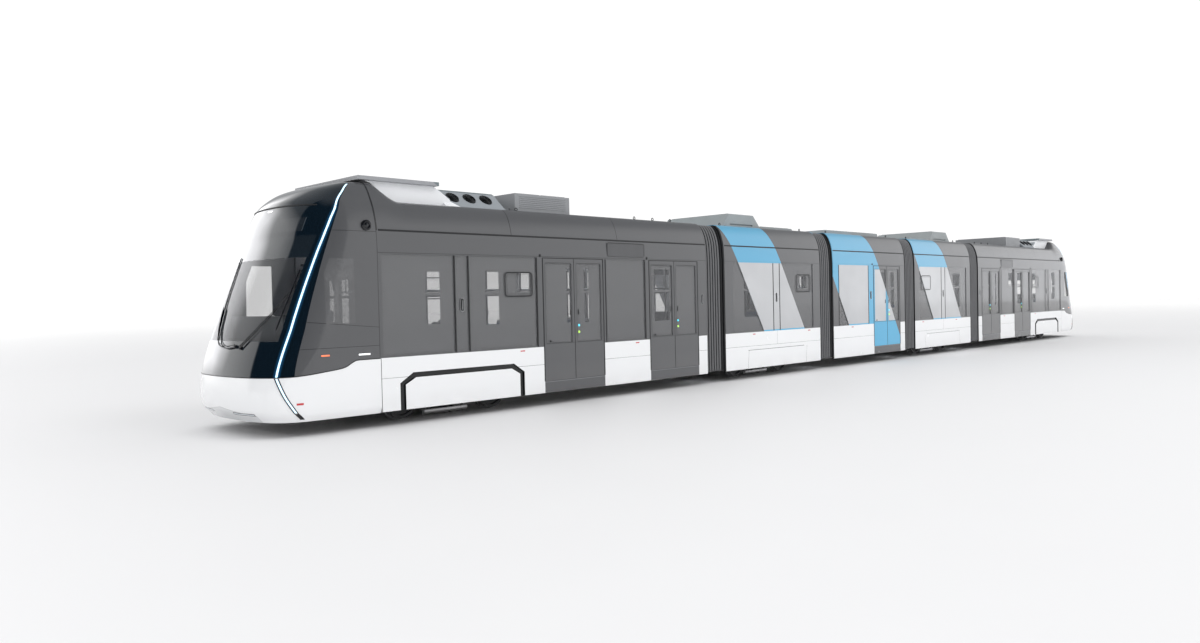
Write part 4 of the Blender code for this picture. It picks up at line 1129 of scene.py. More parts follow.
# %% Gangway hoods
HOODS = (("ab", "bellows_ab", 6.46, 7.11, "section_b", "section_a"),
         ("bc", "bellows_bc", 1.94, 2.59, "section_c", "section_b"),
         ("cd", "bellows_cd", -1.94, -2.59, "section_c", "section_d"),
         ("de", "bellows_de", -6.46, -7.11, "section_d", "section_e"))
FOLDS, FOLD_DEPTH, HOOD_INSET, HOOD_WALL, HOOD_FOOT = 7, 0.052, 0.022, 0.016, 0.262
FOLD_STEPS, VALLEY_STEPS = 10, (0, 1, 8, 9)
FRAME_WIDTH, FRAME_GAP = 0.036, 0.001
FRAME_OUTSIDE, FRAME_INSIDE = (0.022, 0.008, 0.008, 0.022), (0.10, 0.10, 0.10, 0.10)
LEG_POINTS, SHOULDER_POINTS, ROOF_POINTS = 12, 26, 8


def arch_line(inset):
    """Y and Z of the hood's arch from the right foot over the roof to the left one, inset from the body."""
    leg = np.stack([np.full(LEG_POINTS, SIDE), np.linspace(HOOD_FOOT, 2.60, LEG_POINTS)], axis=1)
    half = moved_out(np.concatenate([leg, shoulder_line(0.0, 0.0, SHOULDER_POINTS)]), -inset)
    edge, level = half[-1]
    roof = np.stack([np.linspace(edge, 0, ROOF_POINTS), np.full(ROOF_POINTS, level)], axis=1)[1:]
    half = np.concatenate([half, roof])
    right = half * np.array([-1, 1])
    return np.concatenate([right[:-1], half[::-1]])


def arches(x, insets):
    return grid_along(x, np.stack([arch_line(inset) for inset in insets]))


def hood(start, end):
    """Folds between two places on X. The depth under the crests is |sin|-shaped, which leaves the crests round
    and the valleys sharp, and the inner side repeats it further in. The first fold and all valleys are
    black, and in the valleys the black is painted shade in the creases."""
    t = np.linspace(0, 1, FOLDS * FOLD_STEPS + 1)
    insets = HOOD_INSET + (1 - np.abs(np.sin(t * FOLDS * math.pi)) ** 0.8) * FOLD_DEPTH
    x = start + (end - start) * t
    outer, inner = arches(x, insets), arches(x, insets + HOOD_WALL)
    points, faces = wall(outer, inner)
    step = np.arange(len(t) - 1)
    # Black valleys are painted shade, darkening the creases between the folds.
    dark = (step < FOLD_STEPS) | np.isin(step % FOLD_STEPS, VALLEY_STEPS)
    black = np.repeat(dark.astype(int), outer.shape[1] - 1)
    return points, faces, np.concatenate([black, black, np.zeros(len(faces) - 2 * len(black), int)])


def hood_frame(start, end):
    """The flat black frame that clamps the hood to a section."""
    x = start + (end - start) * np.array([0, 0.15, 0.85, 1])
    return wall(arches(x, FRAME_OUTSIDE), arches(x, FRAME_INSIDE))


for letters, node, start, end, near, far in HOODS:
    step = math.copysign(FRAME_WIDTH, end - start)
    nudge = math.copysign(FRAME_GAP, end - start)
    folds_end = end - nudge * 12
    piece = object_of(f"hood_{letters}", [hood(start + step, folds_end)], [BELLOWS, RUBBER], near,
                      crease=60)
    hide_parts(node)
    piece.parent = None
    piece.matrix_world = Matrix.Identity(4)
    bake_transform(piece)
    for word, low, high, body in (("frame", start + nudge, start + step, near),
                                  ("edge", folds_end, end - nudge, far)):
        object_of(f"hood_{word}_{letters}", [hood_frame(low, high)], RUBBER, body)
print("hoods", len(HOODS))

# %% [markdown]
# The wheels are turned steel: a flange, a tread, a thick rim, a thin web and a hub on the axle, with a ring
# of bolts for the rubber springs between rim and web. Stacked cylinders would cut into one another, so one
# closed profile is carried round the axle instead.

# %% Wheelsets
BOGIE_CENTRES, HALF_BASE = (13.43, 4.52, -4.52, -13.43), 0.9
AXLE_LEVEL, TREAD, FLANGE = 0.32366, 0.2935, 0.3235
BACK_TO_BACK = 0.6925
WHEEL_PROFILE = [(0.085, 0.035), (0.10, 0.03), (0.115, 0.055), (0.235, 0.062), (0.245, 0.012),
                 (TREAD - 0.004, 0.012), (FLANGE - 0.012, 0.000), (FLANGE, 0.010), (FLANGE - 0.004, 0.022),
                 (TREAD, 0.034), (TREAD - 0.003, 0.122), (TREAD - 0.010, 0.130), (0.245, 0.130), (0.237, 0.092),
                 (0.115, 0.085), (0.10, 0.120), (0.055, 0.125), (0.049, 0.035)]
ROLLED_FACES, WHEEL_STEPS = (5, 6, 7, 8, 9, 10), 56
BOLTS, BOLT_CIRCLE, BOLT_RADIUS, BOLT_ENDS = 12, 0.18, 0.012, (0.085, 0.105)
AXLE_STEPS = ((-0.98, 0.040), (-0.93, 0.050), (-0.70, 0.050), (-0.55, 0.062), (0.55, 0.062), (0.70, 0.050),
              (0.93, 0.050), (0.98, 0.040))


def wheel(x, side):
    """One wheel: the profile turned about the axle, with a ring of bolt heads on its outer face."""
    profile = [(r, side * (BACK_TO_BACK + along)) for r, along in WHEEL_PROFILE]
    rolled = np.isin(np.arange(len(profile)), ROLLED_FACES).astype(int)
    parts = [(*turning(profile, (x, 0, AXLE_LEVEL), 1, WHEEL_STEPS), np.tile(rolled, WHEEL_STEPS))]
    for angle in np.arange(BOLTS) * 2 * math.pi / BOLTS:
        bolt_x, bolt_z = x + BOLT_CIRCLE * math.cos(angle), AXLE_LEVEL + BOLT_CIRCLE * math.sin(angle)
        parts.append(tube([(bolt_x, side * (BACK_TO_BACK + y), bolt_z) for y in BOLT_ENDS], BOLT_RADIUS, 6))
    return parts


def axle(x):
    return tube([(x, y, AXLE_LEVEL) for y, _ in AXLE_STEPS], [radius for _, radius in AXLE_STEPS], 24)


wheel_places = [centre + way * HALF_BASE for centre in BOGIE_CENTRES for way in (1, -1)]
for number, x in enumerate(wheel_places, 1):
    parts = wheel(x, 1) + wheel(x, -1) + [axle(x)]
    piece = object_of(f"turned_wheelset_{number}", parts, [STEEL_DARK, STEEL_BRIGHT], f"axle_{number}")
    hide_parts(f"wheelset_{number}")
print("wheelsets", len(wheel_places))

# %% [markdown]
# Small pieces on the nose, such as the light strips, the brow line and the lamps, are patches of the same
# surface: a strip of it between two distances behind the light strip, raised a little. To place one by such a
# distance, the surface is measured along a fine row of points at each height, and read backwards.

# %% Patches on the nose
FINE_SHARES = np.concatenate([np.linspace(0.0, 1, 240), np.linspace(1, 2, 200)[1:]])


def fine_rows(z):
    """The nose's points at each height of an array, close together from the centre to the body seam."""
    return nose(FINE_SHARES[None], np.asarray(z, float)[:, None])


def share_behind(distance, z):
    """The share at which the surface lies a distance behind the light strip, for each height of an array."""
    backs = np.broadcast_to(distance, len(z)) + smooth_read(LED_DRIFT, np.asarray(z, float))
    return np.array([np.interp(np.interp(LED_AT, FINE_SHARES, row) + back, row, FINE_SHARES)
                     for row, back in zip(run_along(fine_rows(z)), backs)])


def share_at_x(x, z):
    """The share at which the side of the nose has an X, for each height of an array."""
    return np.array([np.interp(-x, -row, FINE_SHARES) for row in fine_rows(z)[..., 0]])


def nose_patch(first, last, z, proud, columns=5, side=1, sunk=0.004):
    """A raised strip of the nose between two rows of shares, one pair for each height. Its edges slope."""
    t = np.linspace(0, 1, columns)
    shares = first[:, None] + (last - first)[:, None] * t[None]
    lift = np.full((len(z), columns), proud)
    lift[:, 0] = lift[:, -1] = proud * 0.35
    heights = np.broadcast_to(np.asarray(z, float)[:, None], shares.shape)
    return wall(nose(side * shares, heights, -lift), nose(side * shares, heights, sunk))


print("rows of", len(FINE_SHARES), "points read on the nose")

# %% [markdown]
# The light strips run up the corners of the cab in two lengths, and down over the bumper, where they lean back
# between two dark edges. They stand a few millimetres proud, so that their glow shows from the side too.

# %% Light strips
LED_TOP, LED_JOINT, LED_LOW, LED_GAP = 3.655, 3.30, 0.868, 0.004
LED_HALF, LED_PROUD = 0.014, 0.005
CHANNEL = np.array([(0.27, 0.250), (0.40, 0.215), (0.852, 0.000)])
CHANNEL_LEVELS, CHANNEL_OFF = (0.262, 0.850), 0.024


def led_strip(low, high, half, side, proud):
    z = even_heights(low, high, 40)
    return nose_patch(share_behind(-half, z), share_behind(half, z), z, proud, 5, side)


def channel_patch(half, low, high, side, proud, shift=0.0):
    """The strip's lower run on the bumper, which leans back as it goes down."""
    z = np.linspace(low, high, 24)
    back = np.interp(z, CHANNEL[:, 0], CHANNEL[:, 1]) + shift
    return nose_patch(share_behind(back - half, z), share_behind(back + half, z), z, proud, 5, side)


lights, channels = [], []
for side in (1, -1):
    lights += [led_strip(LED_LOW, LED_JOINT - LED_GAP, LED_HALF, side, LED_PROUD),
               led_strip(LED_JOINT + LED_GAP, LED_TOP, LED_HALF * 0.9, side, LED_PROUD),
               channel_patch(0.012, 0.36, 0.842, side, 0.006)]
    channels += [channel_patch(0.008, *CHANNEL_LEVELS, side, 0.0075, shift)
                 for shift in (CHANNEL_OFF, -CHANNEL_OFF)]
    channels.append(channel_patch(0.030, 0.255, 0.345, side, 0.0085))
for end, sign, body in ENDS:
    object_of(f"light_strips_{end}", at_end(lights, sign), LED, body)
    object_of(f"light_strip_channels_{end}", at_end(channels, sign), TRIM_BLACK, body)
print("light strips ready")

# %% [markdown]
# A rubber bead makes the brow over the display, and another one fills the joint with the bumper. Marker lamps
# sit on the sides, and slim headlamps, unlit, in the bumper; the headlamps and the red side reflectors still
# glow faintly, as painted light. All are patches or beads on the nose.

# %% Brow, gasket and lamps of the cabs
BROW_LEVEL, BROW_HALF, BROW_DROOP = 3.335, 0.86, 0.03
BROW_LAMP_HALF, BROW_LAMP_LEVELS = 0.075, (3.265, 3.292)
JOINT_END = 1.998
MARKERS = ((15.825, 15.955, 1.120, 1.142, AMBER, "side_marker"),
           (15.17, 15.36, 1.104, 1.128, WHITE_LENS, "side_lamp"),
           (16.235, 16.335, 0.462, 0.490, PAINTED_GLOW_RED_REFLECTOR, "side_reflector"))
HEADLAMP_ACROSS, HEADLAMP_LEVELS = (0.34, 0.86), (0.318, 0.352)
LENS_MARGIN_Y, LENS_MARGIN_Z = 0.012, 0.008


def nose_bead(shares, heights, radius, proud):
    """A round bead along a line on the nose."""
    return tube(nose(shares, heights, -proud), radius, 10)


def side_patch(x_low, x_high, z_low, z_high, side):
    z = np.linspace(z_low, z_high, 4)
    return nose_patch(share_at_x(x_high, z), share_at_x(x_low, z), z, 0.004, 7, side)


def front_plate(y_low, y_high, z_low, z_high, proud):
    """A raised plate on the front, between two places across and two heights."""
    z = np.linspace(z_low, z_high, 8)
    width = smooth_read(HALF_WIDTHS, z) * FRONT_SHARE
    return nose_patch(y_low / width, y_high / width, z, proud, 24)


t = np.linspace(-BROW_HALF, BROW_HALF, 60)
joint = np.linspace(-2, 2, 240)
beads = [nose_bead(t, BROW_LEVEL - BROW_DROOP * np.abs(t) ** 2, 0.011, 0.003),
         nose_bead(np.clip(joint, -JOINT_END, JOINT_END), split_height(joint) - 0.003, 0.006, -0.001)]
brow_lamp = front_plate(-BROW_LAMP_HALF, BROW_LAMP_HALF, *BROW_LAMP_LEVELS, 0.006)
rims, lamps = [], []
for side in (1, -1):
    y_low, y_high = sorted(side * y for y in HEADLAMP_ACROSS)
    z_low, z_high = HEADLAMP_LEVELS
    rims.append(front_plate(y_low, y_high, z_low, z_high, 0.0012))
    lamps.append(front_plate(y_low + LENS_MARGIN_Y, y_high - LENS_MARGIN_Y, z_low + LENS_MARGIN_Z,
                             z_high - LENS_MARGIN_Z, 0.003))
for end, sign, body in ENDS:
    object_of(f"brow_and_joint_{end}", at_end(beads, sign), RUBBER, body)
    object_of(f"brow_lamp_{end}", at_end([brow_lamp], sign), WHITE_LENS, body)
    for *edges, finish, word in MARKERS:
        patches = [side_patch(*edges, side) for side in (1, -1)]
        object_of(f"{word}s_{end}", at_end(patches, sign), finish, body)
    object_of(f"headlamp_rims_{end}", at_end(rims, sign), TRIM_BLACK, body)
    object_of(f"headlamps_{end}", at_end(lamps, sign), HEADLAMP_LENS_PAINTED_GLOW, body)
print("brow and lamps ready")

# %% [markdown]
# A camera looks back along each side from a round pod behind the cab. It is a turned ring round a lens. A
# flattened sphere would come close, but a turned profile also gives the rim its edge.

# %% Camera pods
POD_PLACE, LENS_AHEAD = (15.17, 1.3225, 3.02), 0.006
POD_RING = [(0.030, -0.030), (0.078, -0.030), (0.078, 0.004), (0.070, 0.012), (0.056, 0.0145), (0.050, 0.006),
            (0.042, 0.004), (0.030, 0.012)]
POD_LENS = [(0.0015, -0.02), (0.031, -0.02), (0.031, 0.006), (0.024, 0.010), (0.010, 0.0125), (0.0015, 0.013)]


def pod_part(profile, x, steps):
    """The same turned part on both sides of the cab, its profile running outwards."""
    return [turning([(r, side * out) for r, out in profile], (x, side * POD_PLACE[1], POD_PLACE[2]), 1, steps)
            for side in (1, -1)]


for end, sign, body in ENDS:
    object_of(f"camera_pods_{end}", at_end(pod_part(POD_RING, POD_PLACE[0], 40), sign), TRIM_BLACK, body)
    object_of(f"camera_lenses_{end}", at_end(pod_part(POD_LENS, POD_PLACE[0] - LENS_AHEAD, 32), sign),
              SIDE_GLASS_DARK, body)
print("camera pods ready")

# %% [markdown]
# The wipers sit on two spindles under the glass. Each has a pair of parallel arms and a long blade, which
# lies along the surface: its points are read from the nose and moved out a little.

# %% Wipers
SPINDLES = ((0.27, 1.285), (0.385, 1.268))
ARMS = ((SPINDLES[0], (0.08, 1.262), (-0.13, 1.30), (-0.28, 1.50), (-0.34, 1.82)),
        (SPINDLES[1], (0.55, 1.46), (0.73, 1.72), (0.86, 2.02)))
BLADES = (((-0.27, 1.37), (-0.36, 1.95), (-0.40, 2.60)), ((0.83, 1.52), (0.855, 1.95), (0.875, 2.36)))
OFF_GLASS, ARM_SPACING = 0.026, 0.030


def on_nose(points, proud, count=24):
    """A smooth line over the nose through a few (share, height) points."""
    points = np.asarray(points, float)
    knots, at = np.linspace(0, 1, len(points)), np.linspace(0, 1, count)
    share, z = (smooth_read(np.stack([knots, points[:, i]], 1), at) for i in (0, 1))
    return nose(share, z, -proud)


def wiper_parts():
    """Spindles, arms and blades of one cab."""
    parts = []
    for share, z in SPINDLES:
        root, tip = nose(share, z, 0.01), nose(share, z, -OFF_GLASS - 0.008)
        parts.append(tube([root, root + (tip - root) * 0.5, tip], [0.030, 0.024, 0.018], 20))
    for arm in ARMS:
        line = on_nose(arm, OFF_GLASS)
        parts.append(tube(line, np.linspace(0.012, 0.007, len(line)), 8))
        parts.append(tube(line + np.array([0.0, 0.0, ARM_SPACING]), np.linspace(0.008, 0.005, len(line)), 8))
    return parts + [tube(on_nose(blade, 0.012), 0.009, 8) for blade in BLADES]


for end, sign, body in ENDS:
    object_of(f"wipers_{end}", at_end(wiper_parts(), sign), TRIM_BLACK, body)
print("wipers ready")

# %% [markdown]
# Along the sides, black rubber lines part the doors, the windows and the pillars between them. Each is a
# slightly proud strip with soft edges. Places are given for the front left quarter, and repeated by sign.

# %% Rubber lines along the sides
LINE_WIDTH, LINE_PROUD, LINE_SUNK = 0.028, 0.004, 0.004
GLASS_LOW, GLASS_HIGH, DOOR_LOW, DOOR_RAIL = 1.045, 2.60, 0.432, 1.085
LINES = {"a": (13.61, 13.335, 11.862, 10.152, 9.045), "b": (4.61, 4.35), "c": (0.13, 1.66)}


def upright_line(x, low, high, width=LINE_WIDTH, proud=LINE_PROUD):
    return bar((x - width / 2, SIDE - LINE_SUNK, low), (x + width / 2, SIDE + proud, high), 0.0035)


def level_line(x_low, x_high, z, width=0.014, proud=0.003):
    return bar((x_low, SIDE - LINE_SUNK, z - width / 2), (x_high, SIDE + proud, z + width / 2), 0.003)


def everywhere(like, parts):
    """Puts the parts of a quarter at each place of their kind, as pairs of (section letter, part)."""
    if like == "c":
        return [("c", placed(part, 1, side)) for part in parts for side in (1, -1)]
    letters = {"a": ("a", "e"), "b": ("b", "d")}[like]
    return [(letters[along < 0], placed(part, along, side))
            for part in parts for along in (1, -1) for side in (1, -1)]


def each(table, make):
    """The parts that make gives for each place in a table, by the kind of section."""
    return {like: [part for place in places for part in make(place)] for like, places in table.items()}


def side_pieces(word, parts_by_kind, finish):
    """One object for each section, of parts that were made for the quarters."""
    by_letter = {}
    for like, parts in parts_by_kind.items():
        for letter, part in everywhere(like, parts):
            by_letter.setdefault(letter, []).append(part)
    for letter, parts in sorted(by_letter.items()):
        object_of(f"{word}_{letter}", parts, finish, f"section_{letter}")


def door_edges(door):
    """The rubber edges and the middle joint of a double door, its top edge and the seam under its panes."""
    low, high = door
    return [upright_line(low + 0.004, DOOR_LOW, GLASS_HIGH, 0.024),
            upright_line(high - 0.004, DOOR_LOW, GLASS_HIGH, 0.024),
            upright_line((low + high) / 2, DOOR_LOW, GLASS_HIGH, 0.012, 0.003),
            level_line(low, high, GLASS_HIGH - 0.004), level_line(low, high, DOOR_RAIL, 0.006, 0.001)]


posts, edges = each(LINES, lambda x: [upright_line(x, GLASS_LOW, GLASS_HIGH)]), each(DOORS, door_edges)
side_pieces("rubber_lines", {like: posts[like] + edges[like] for like in LINES}, RUBBER)
print("rubber lines ready")

# %% [markdown]
# Every door leaf is glazed. The pane fills the leaf's opening with rounded corners, and a rubber seal runs
# round it. Two round buttons sit beside the middle seam: one lit blue-green and one green. All of them are
# worked out from the two ends of the doorway, so that one table of doorways places them.

# %% Door panes and buttons
LEAF_STILE, PANE_LOW, PANE_HIGH = 0.07, 1.102, 2.498
SEAL_MARGIN, SEAL_RADIUS, SEAL_WIDTH = 0.012, 0.045, 0.006
ON_PANEL = SIDE - 0.001
BUTTON_RADIUS, BUTTON_OFF = 0.022, 0.10
BUTTONS = (("upper", 1.39, BUTTON_BLUE), ("lower", 1.27, BUTTON_GREEN))


def openings(door):
    """The glazed openings of the two leaves, as pairs of corners in X and Z."""
    low, high = door
    middle = (low + high) / 2
    return [((start + LEAF_STILE, PANE_LOW), (end - LEAF_STILE, PANE_HIGH))
            for start, end in ((low, middle), (middle, high))]


def door_panes(door):
    return [side_plate((x0 + 0.001, z0), (x1 - 0.001, z1), 0.004, SIDE - 0.020, SIDE - 0.002)
            for (x0, z0), (x1, z1) in openings(door)]


def grown(corners, margin):
    """A rectangle's two corners, moved out by a margin."""
    (x0, z0), (x1, z1) = corners
    return (x0 - margin, z0 - margin), (x1 + margin, z1 + margin)


def pane_seals(door):
    return [side_frame(*grown(corners, SEAL_MARGIN), SEAL_RADIUS, ON_PANEL, SEAL_WIDTH, 0.002)
            for corners in openings(door)]


def button(x, z, radius):
    profile = [(0.0012, -0.002), (radius, -0.002), (radius, 0.006), (radius * 0.8, 0.009), (0.0012, 0.0095)]
    return turning(profile, (x, SIDE, z), 1, 24)


side_pieces("door_panes", each({"a": DOORS["a"]}, door_panes), SIDE_GLASS)
side_pieces("door_panes", each({"c": DOORS["c"]}, door_panes), FILM_GLASS)
side_pieces("door_pane_seals", each(DOORS, pane_seals), RUBBER)
for word, level, finish in BUTTONS:
    lit = each(DOORS, lambda door: [button(sum(door) / 2 - BUTTON_OFF, level, BUTTON_RADIUS)])
    side_pieces(f"door_buttons_{word}", lit, finish)
print("doors ready")

# %% [markdown]
# Hopper windows, the side displays, pillar handles and the small marker plates finish the sides. The displays
# are blank dark glass in a thin rounded frame. A texture could show them all, but a few millimetres of real
# depth give the fine edges and shadows of a built side.

# %% Hopper frames, displays, handles and plates
HOPPERS = {"a": (((11.985, 1.945), (12.56, 2.325)),), "b": (((3.03, 1.945), (3.61, 2.325)),)}
HOPPER_INSIDE = 0.03
SIDE_DISPLAY, DISPLAY_INSIDE = ((9.06, 2.655), (10.09, 2.905)), 0.005
HANDLES = {"a": (13.47, 7.255), "b": (4.48,), "c": (0.0,)}
KNOBS, KNOB_LEVEL = {"a": (11.78, 8.985), "c": (-0.09,)}, 2.635
PLATES = {"a": (12.22, 9.30), "b": (5.40, 3.10), "c": (1.0,)}
BOW = ((-0.002, 1.735), (0.007, 1.75), (0.008, 1.81), (0.007, 1.87), (-0.002, 1.885))
DISH_HALF, DISH_LEVELS, DISH_INSIDE = 0.032, (1.705, 1.915), 0.001
GRIP_HALF, GRIP_LEVELS, GRIP_OFF = 0.013, (1.58, 1.68), 0.10
LOCK_OFF, LOCK_LEVEL, LOCK_RADIUS = 0.16, 1.13, 0.018
PLATE_HALF, PLATE_LEVELS = 0.05, (0.985, 1.003)


def upright(x, half, levels):
    """The corners of a rectangle round an X, between two levels."""
    return (x - half, levels[0]), (x + half, levels[1])


def hopper(corners):
    return [side_frame(*corners, 0.05, ON_PANEL, 0.022, 0.004),
            side_frame(*grown(corners, -HOPPER_INSIDE), 0.03, ON_PANEL, 0.004, 0.002)]


def handle(x):
    """A bow handle in the raised rim of its dish."""
    rim = side_frame(*upright(x, DISH_HALF, DISH_LEVELS), 0.031, ON_PANEL, 0.005, 0.003)
    return [tube([(x, SIDE + out, z) for out, z in BOW], 0.0055, 10), rim]


def dish(x):
    corners = grown(upright(x, DISH_HALF, DISH_LEVELS), -DISH_INSIDE)
    return [side_plate(*corners, 0.030, SIDE - 0.003, SIDE + 0.0008)]


def door_grips(door):
    """A small grip on each leaf, and a lock low on the leaf that leads."""
    middle = sum(door) / 2
    grips = [side_plate(*upright(x, GRIP_HALF, GRIP_LEVELS), 0.0125, SIDE - 0.003, SIDE + 0.003)
             for x in (middle + GRIP_OFF, middle - GRIP_OFF)]
    return grips + [button(door[1] - LOCK_OFF, LOCK_LEVEL, LOCK_RADIUS)]


def skirt_plate(x):
    return [side_plate(*upright(x, PLATE_HALF, PLATE_LEVELS), 0.004, ON_PANEL, SIDE + 0.002)]


def display_frame(corners):
    return [side_frame(*corners, 0.035, ON_PANEL, 0.009, 0.003)]


def display(corners):
    return [side_plate(*grown(corners, -DISPLAY_INSIDE), 0.032, SIDE - 0.003, SIDE + 0.0012)]


side_pieces("hopper_frames", each(HOPPERS, hopper), RUBBER)
side_pieces("side_display_frames", {"a": display_frame(SIDE_DISPLAY)}, RUBBER)
side_pieces("side_displays", {"a": display(SIDE_DISPLAY)}, DISPLAY_GLASS)
side_pieces("pillar_handles", each(HANDLES, handle), PALE_METAL)
side_pieces("pillar_dishes", each(HANDLES, dish), GRILLE_BLACK)
side_pieces("door_knobs", each(KNOBS, lambda x: [button(x, KNOB_LEVEL, 0.026)]), RUBBER)
side_pieces("door_grips", each(DOORS, door_grips), GRILLE_BLACK)
# The red skirt plates are reflectors, and their glow is painted light.
side_pieces("skirt_plates", each(PLATES, skirt_plate), PAINTED_GLOW_RED_REFLECTOR)
print("side fittings ready")

# %% [markdown]
# On the roof, the fan unit draws air through three fans a side. Each has a guard ring, a hub and blades that
# are twisted plates. The unit's sides slope, so a fan is worked out flat and then leaned back.

# %% Roof fans
FAN_SPOTS, FAN_RADIUS = (12.52, 12.87, 13.22), 0.112
FAN_CENTRE, FAN_LEAN = (0.782, 3.603), math.atan2(0.21, 0.24)
GUARD_RADII, GUARD_LEVEL, GUARD_HALF = (0.035, 0.062, 0.088), 0.014, 0.004
HUB_BACK = [(0.001, -0.041), (0.1135, -0.041), (0.1135, -0.037), (0.001, -0.037)]
BLADES_EACH, BLADE_REACH, BLADE_ANGLE, BLADE_SWEEP = 7, (0.025, 0.098), 0.62, 1.5
BLADE_PITCH, BLADE_LEVEL, BLADE_THICK = 0.022, 0.006, 0.002


def leaned(part, x):
    """Takes a part built round the origin, facing up, to its place on the left slope of the fan unit."""
    points, (centre_y, centre_z) = part[0], FAN_CENTRE
    y = points[:, 1] * math.cos(FAN_LEAN) + points[:, 2] * math.sin(FAN_LEAN)
    z = points[:, 2] * math.cos(FAN_LEAN) - points[:, 1] * math.sin(FAN_LEAN)
    return np.stack([points[:, 0] + x, centre_y + y, centre_z + z], axis=1), part[1]


def fan_guard():
    """Guard rings, rim and cross bars of one fan, flat, facing up."""
    half = GUARD_HALF
    parts = [turning([(r - half, 0.0), (r, half), (r + half, 0.0), (r, -half)], (0, 0, GUARD_LEVEL), 2, 40)
             for r in GUARD_RADII]
    inside, outside = FAN_RADIUS - 0.008, FAN_RADIUS + 0.006
    rim = [(inside, -0.01), (outside, -0.01), (outside, 0.012), (FAN_RADIUS, 0.018), (inside, 0.012)]
    parts.append(turning(rim, (0, 0, 0), 2, 48))
    for angle in np.radians([0, 45, 90, 135]):
        end = np.array([math.cos(angle), math.sin(angle), 0]) * FAN_RADIUS
        parts.append(tube(np.stack([-end, end * 0, end]) + np.array([0, 0, GUARD_LEVEL]), 0.0035, 6))
    return parts


def fan_blades():
    """The disc behind the fan and its blades. A blade's point at a radius and a share s of its width lies at
    the angle s * 0.62 + radius * 1.5, and rises evenly with s."""
    r, s = np.meshgrid(np.linspace(*BLADE_REACH, 6), np.linspace(-0.5, 0.5, 5), indexing="ij")
    parts = [turning(HUB_BACK, (0, 0, 0), 2, 40)]
    for turn in np.arange(BLADES_EACH) * 2 * math.pi / BLADES_EACH:
        angle = turn + s * BLADE_ANGLE + r * BLADE_SWEEP
        grid = np.stack([r * np.cos(angle), r * np.sin(angle), s * BLADE_PITCH - BLADE_LEVEL], axis=2)
        parts.append(wall(grid, grid - np.array([0, 0, BLADE_THICK])))
    return parts


for end, sign, body in ENDS:
    for word, parts in (("guards", fan_guard()), ("blades", fan_blades())):
        fans = [placed(leaned(part, x), sign, side) for part in parts for x in FAN_SPOTS for side in (1, -1)]
        object_of(f"fan_{word}_{end}", fans, GRILLE_BLACK, body)
print("fans ready")

# %% [markdown]
# Through the glass one sees benches, the driver's place and grab rails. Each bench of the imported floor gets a
# moulded shell, and each place a cloth seat and back. All are closed profiles in X and Z, carried across.

# %% Benches
FLOOR_LEVEL, BOX_LEVEL, AISLE_LEVEL = 0.385, 0.78, 0.52
BOX_SEAT, FLOOR_SEAT = 0.10, 0.45
BOGIE_BENCHES = ((-1.33, 1), (-0.06, -1), (0.06, 1), (1.33, -1))
LOW_BENCHES = {"a": ((9.13, 1), (10.06, -1)), "c": ((0.20, 1), (1.60, -1))}
BOGIE_AT = {"a": BOGIE_CENTRES[0], "b": BOGIE_CENTRES[1]}
BENCH_FROM, BENCH_ENDS, PAD_STARTS, PAD_WIDTH = (-1.22, 0.56), (-0.008, 0.668), (0.018, 0.342), 0.30
BENCH_SHELL = [(0.08, None), (0.052, -0.108), (-0.010, -0.088), (-0.040, 0.615), (-0.025, 0.645),
               (0.005, 0.655), (0.040, 0.648), (0.052, 0.615), (0.102, 0.010), (0.478, 0.008),
               (0.486, -0.040), (0.478, -0.098), (0.368, -0.108), (0.332, None)]
SEAT_PAD = [(0.115, 0.004), (0.468, 0.004), (0.486, 0.016), (0.484, 0.034), (0.462, 0.046), (0.30, 0.050),
            (0.14, 0.040)]
BACK_PAD = [(0.098, 0.050), (0.122, 0.070), (0.124, 0.12), (0.104, 0.34), (0.084, 0.55), (0.070, 0.60),
            (0.052, 0.61), (0.048, 0.595)]


def across_body(profile, low, high, soft):
    """A closed profile in X and Z carried across the tram, narrowed a little at both ends."""
    profile = np.asarray(profile, float)
    middle = profile.mean(axis=0)
    reach = np.abs(profile - middle).max(axis=0)
    places = (low, low + soft * 0.4, low + soft, high - soft, high - soft * 0.4, high)
    rings = []
    for y, narrow in zip(places, (soft, soft * 0.3, 0, 0, soft * 0.3, soft)):
        ring = np.empty((len(profile), 3))
        ring[:, (0, 2)] = middle + (profile - middle) * (1 - narrow / reach)
        ring[:, 1] = y
        rings.append(ring)
    return loft(rings)


def bench_parts(x, facing, floor):
    """Shells and pads of the two benches that stand at one X, on both sides of the aisle. In the table of the
    shell, None is the foot."""
    seat = floor + (BOX_SEAT if floor == BOX_LEVEL else FLOOR_SEAT)
    shells, pads = [], []
    for low in BENCH_FROM:
        outline = [(x + facing * a, floor + 0.001 if b is None else seat + b) for a, b in BENCH_SHELL]
        shells.append(across_body(outline, low + BENCH_ENDS[0], low + BENCH_ENDS[1], 0.012))
        for start in (low + PAD_STARTS[0], low + PAD_STARTS[1]):
            for pad in (SEAT_PAD, BACK_PAD):
                outline = [(x + facing * a, seat + b) for a, b in pad]
                pads.append(across_body(outline, start, start + PAD_WIDTH, 0.014))
    return shells, pads


for letter, like, sign in SECTIONS:
    places = [(x, facing, FLOOR_LEVEL) for x, facing in LOW_BENCHES.get(like, ())]
    if like in BOGIE_AT:
        places += [(BOGIE_AT[like] + x, facing, BOX_LEVEL) for x, facing in BOGIE_BENCHES]
    shells, pads = [], []
    for place in places:
        bench_shells, bench_pads = bench_parts(*place)
        shells += bench_shells
        pads += bench_pads
    object_of(f"bench_shells_{letter}", at_end(shells, sign), BENCH_GREY, f"section_{letter}")
    object_of(f"bench_pads_{letter}", at_end(pads, sign), SEAT_CLOTH, f"section_{letter}")
print("benches ready")

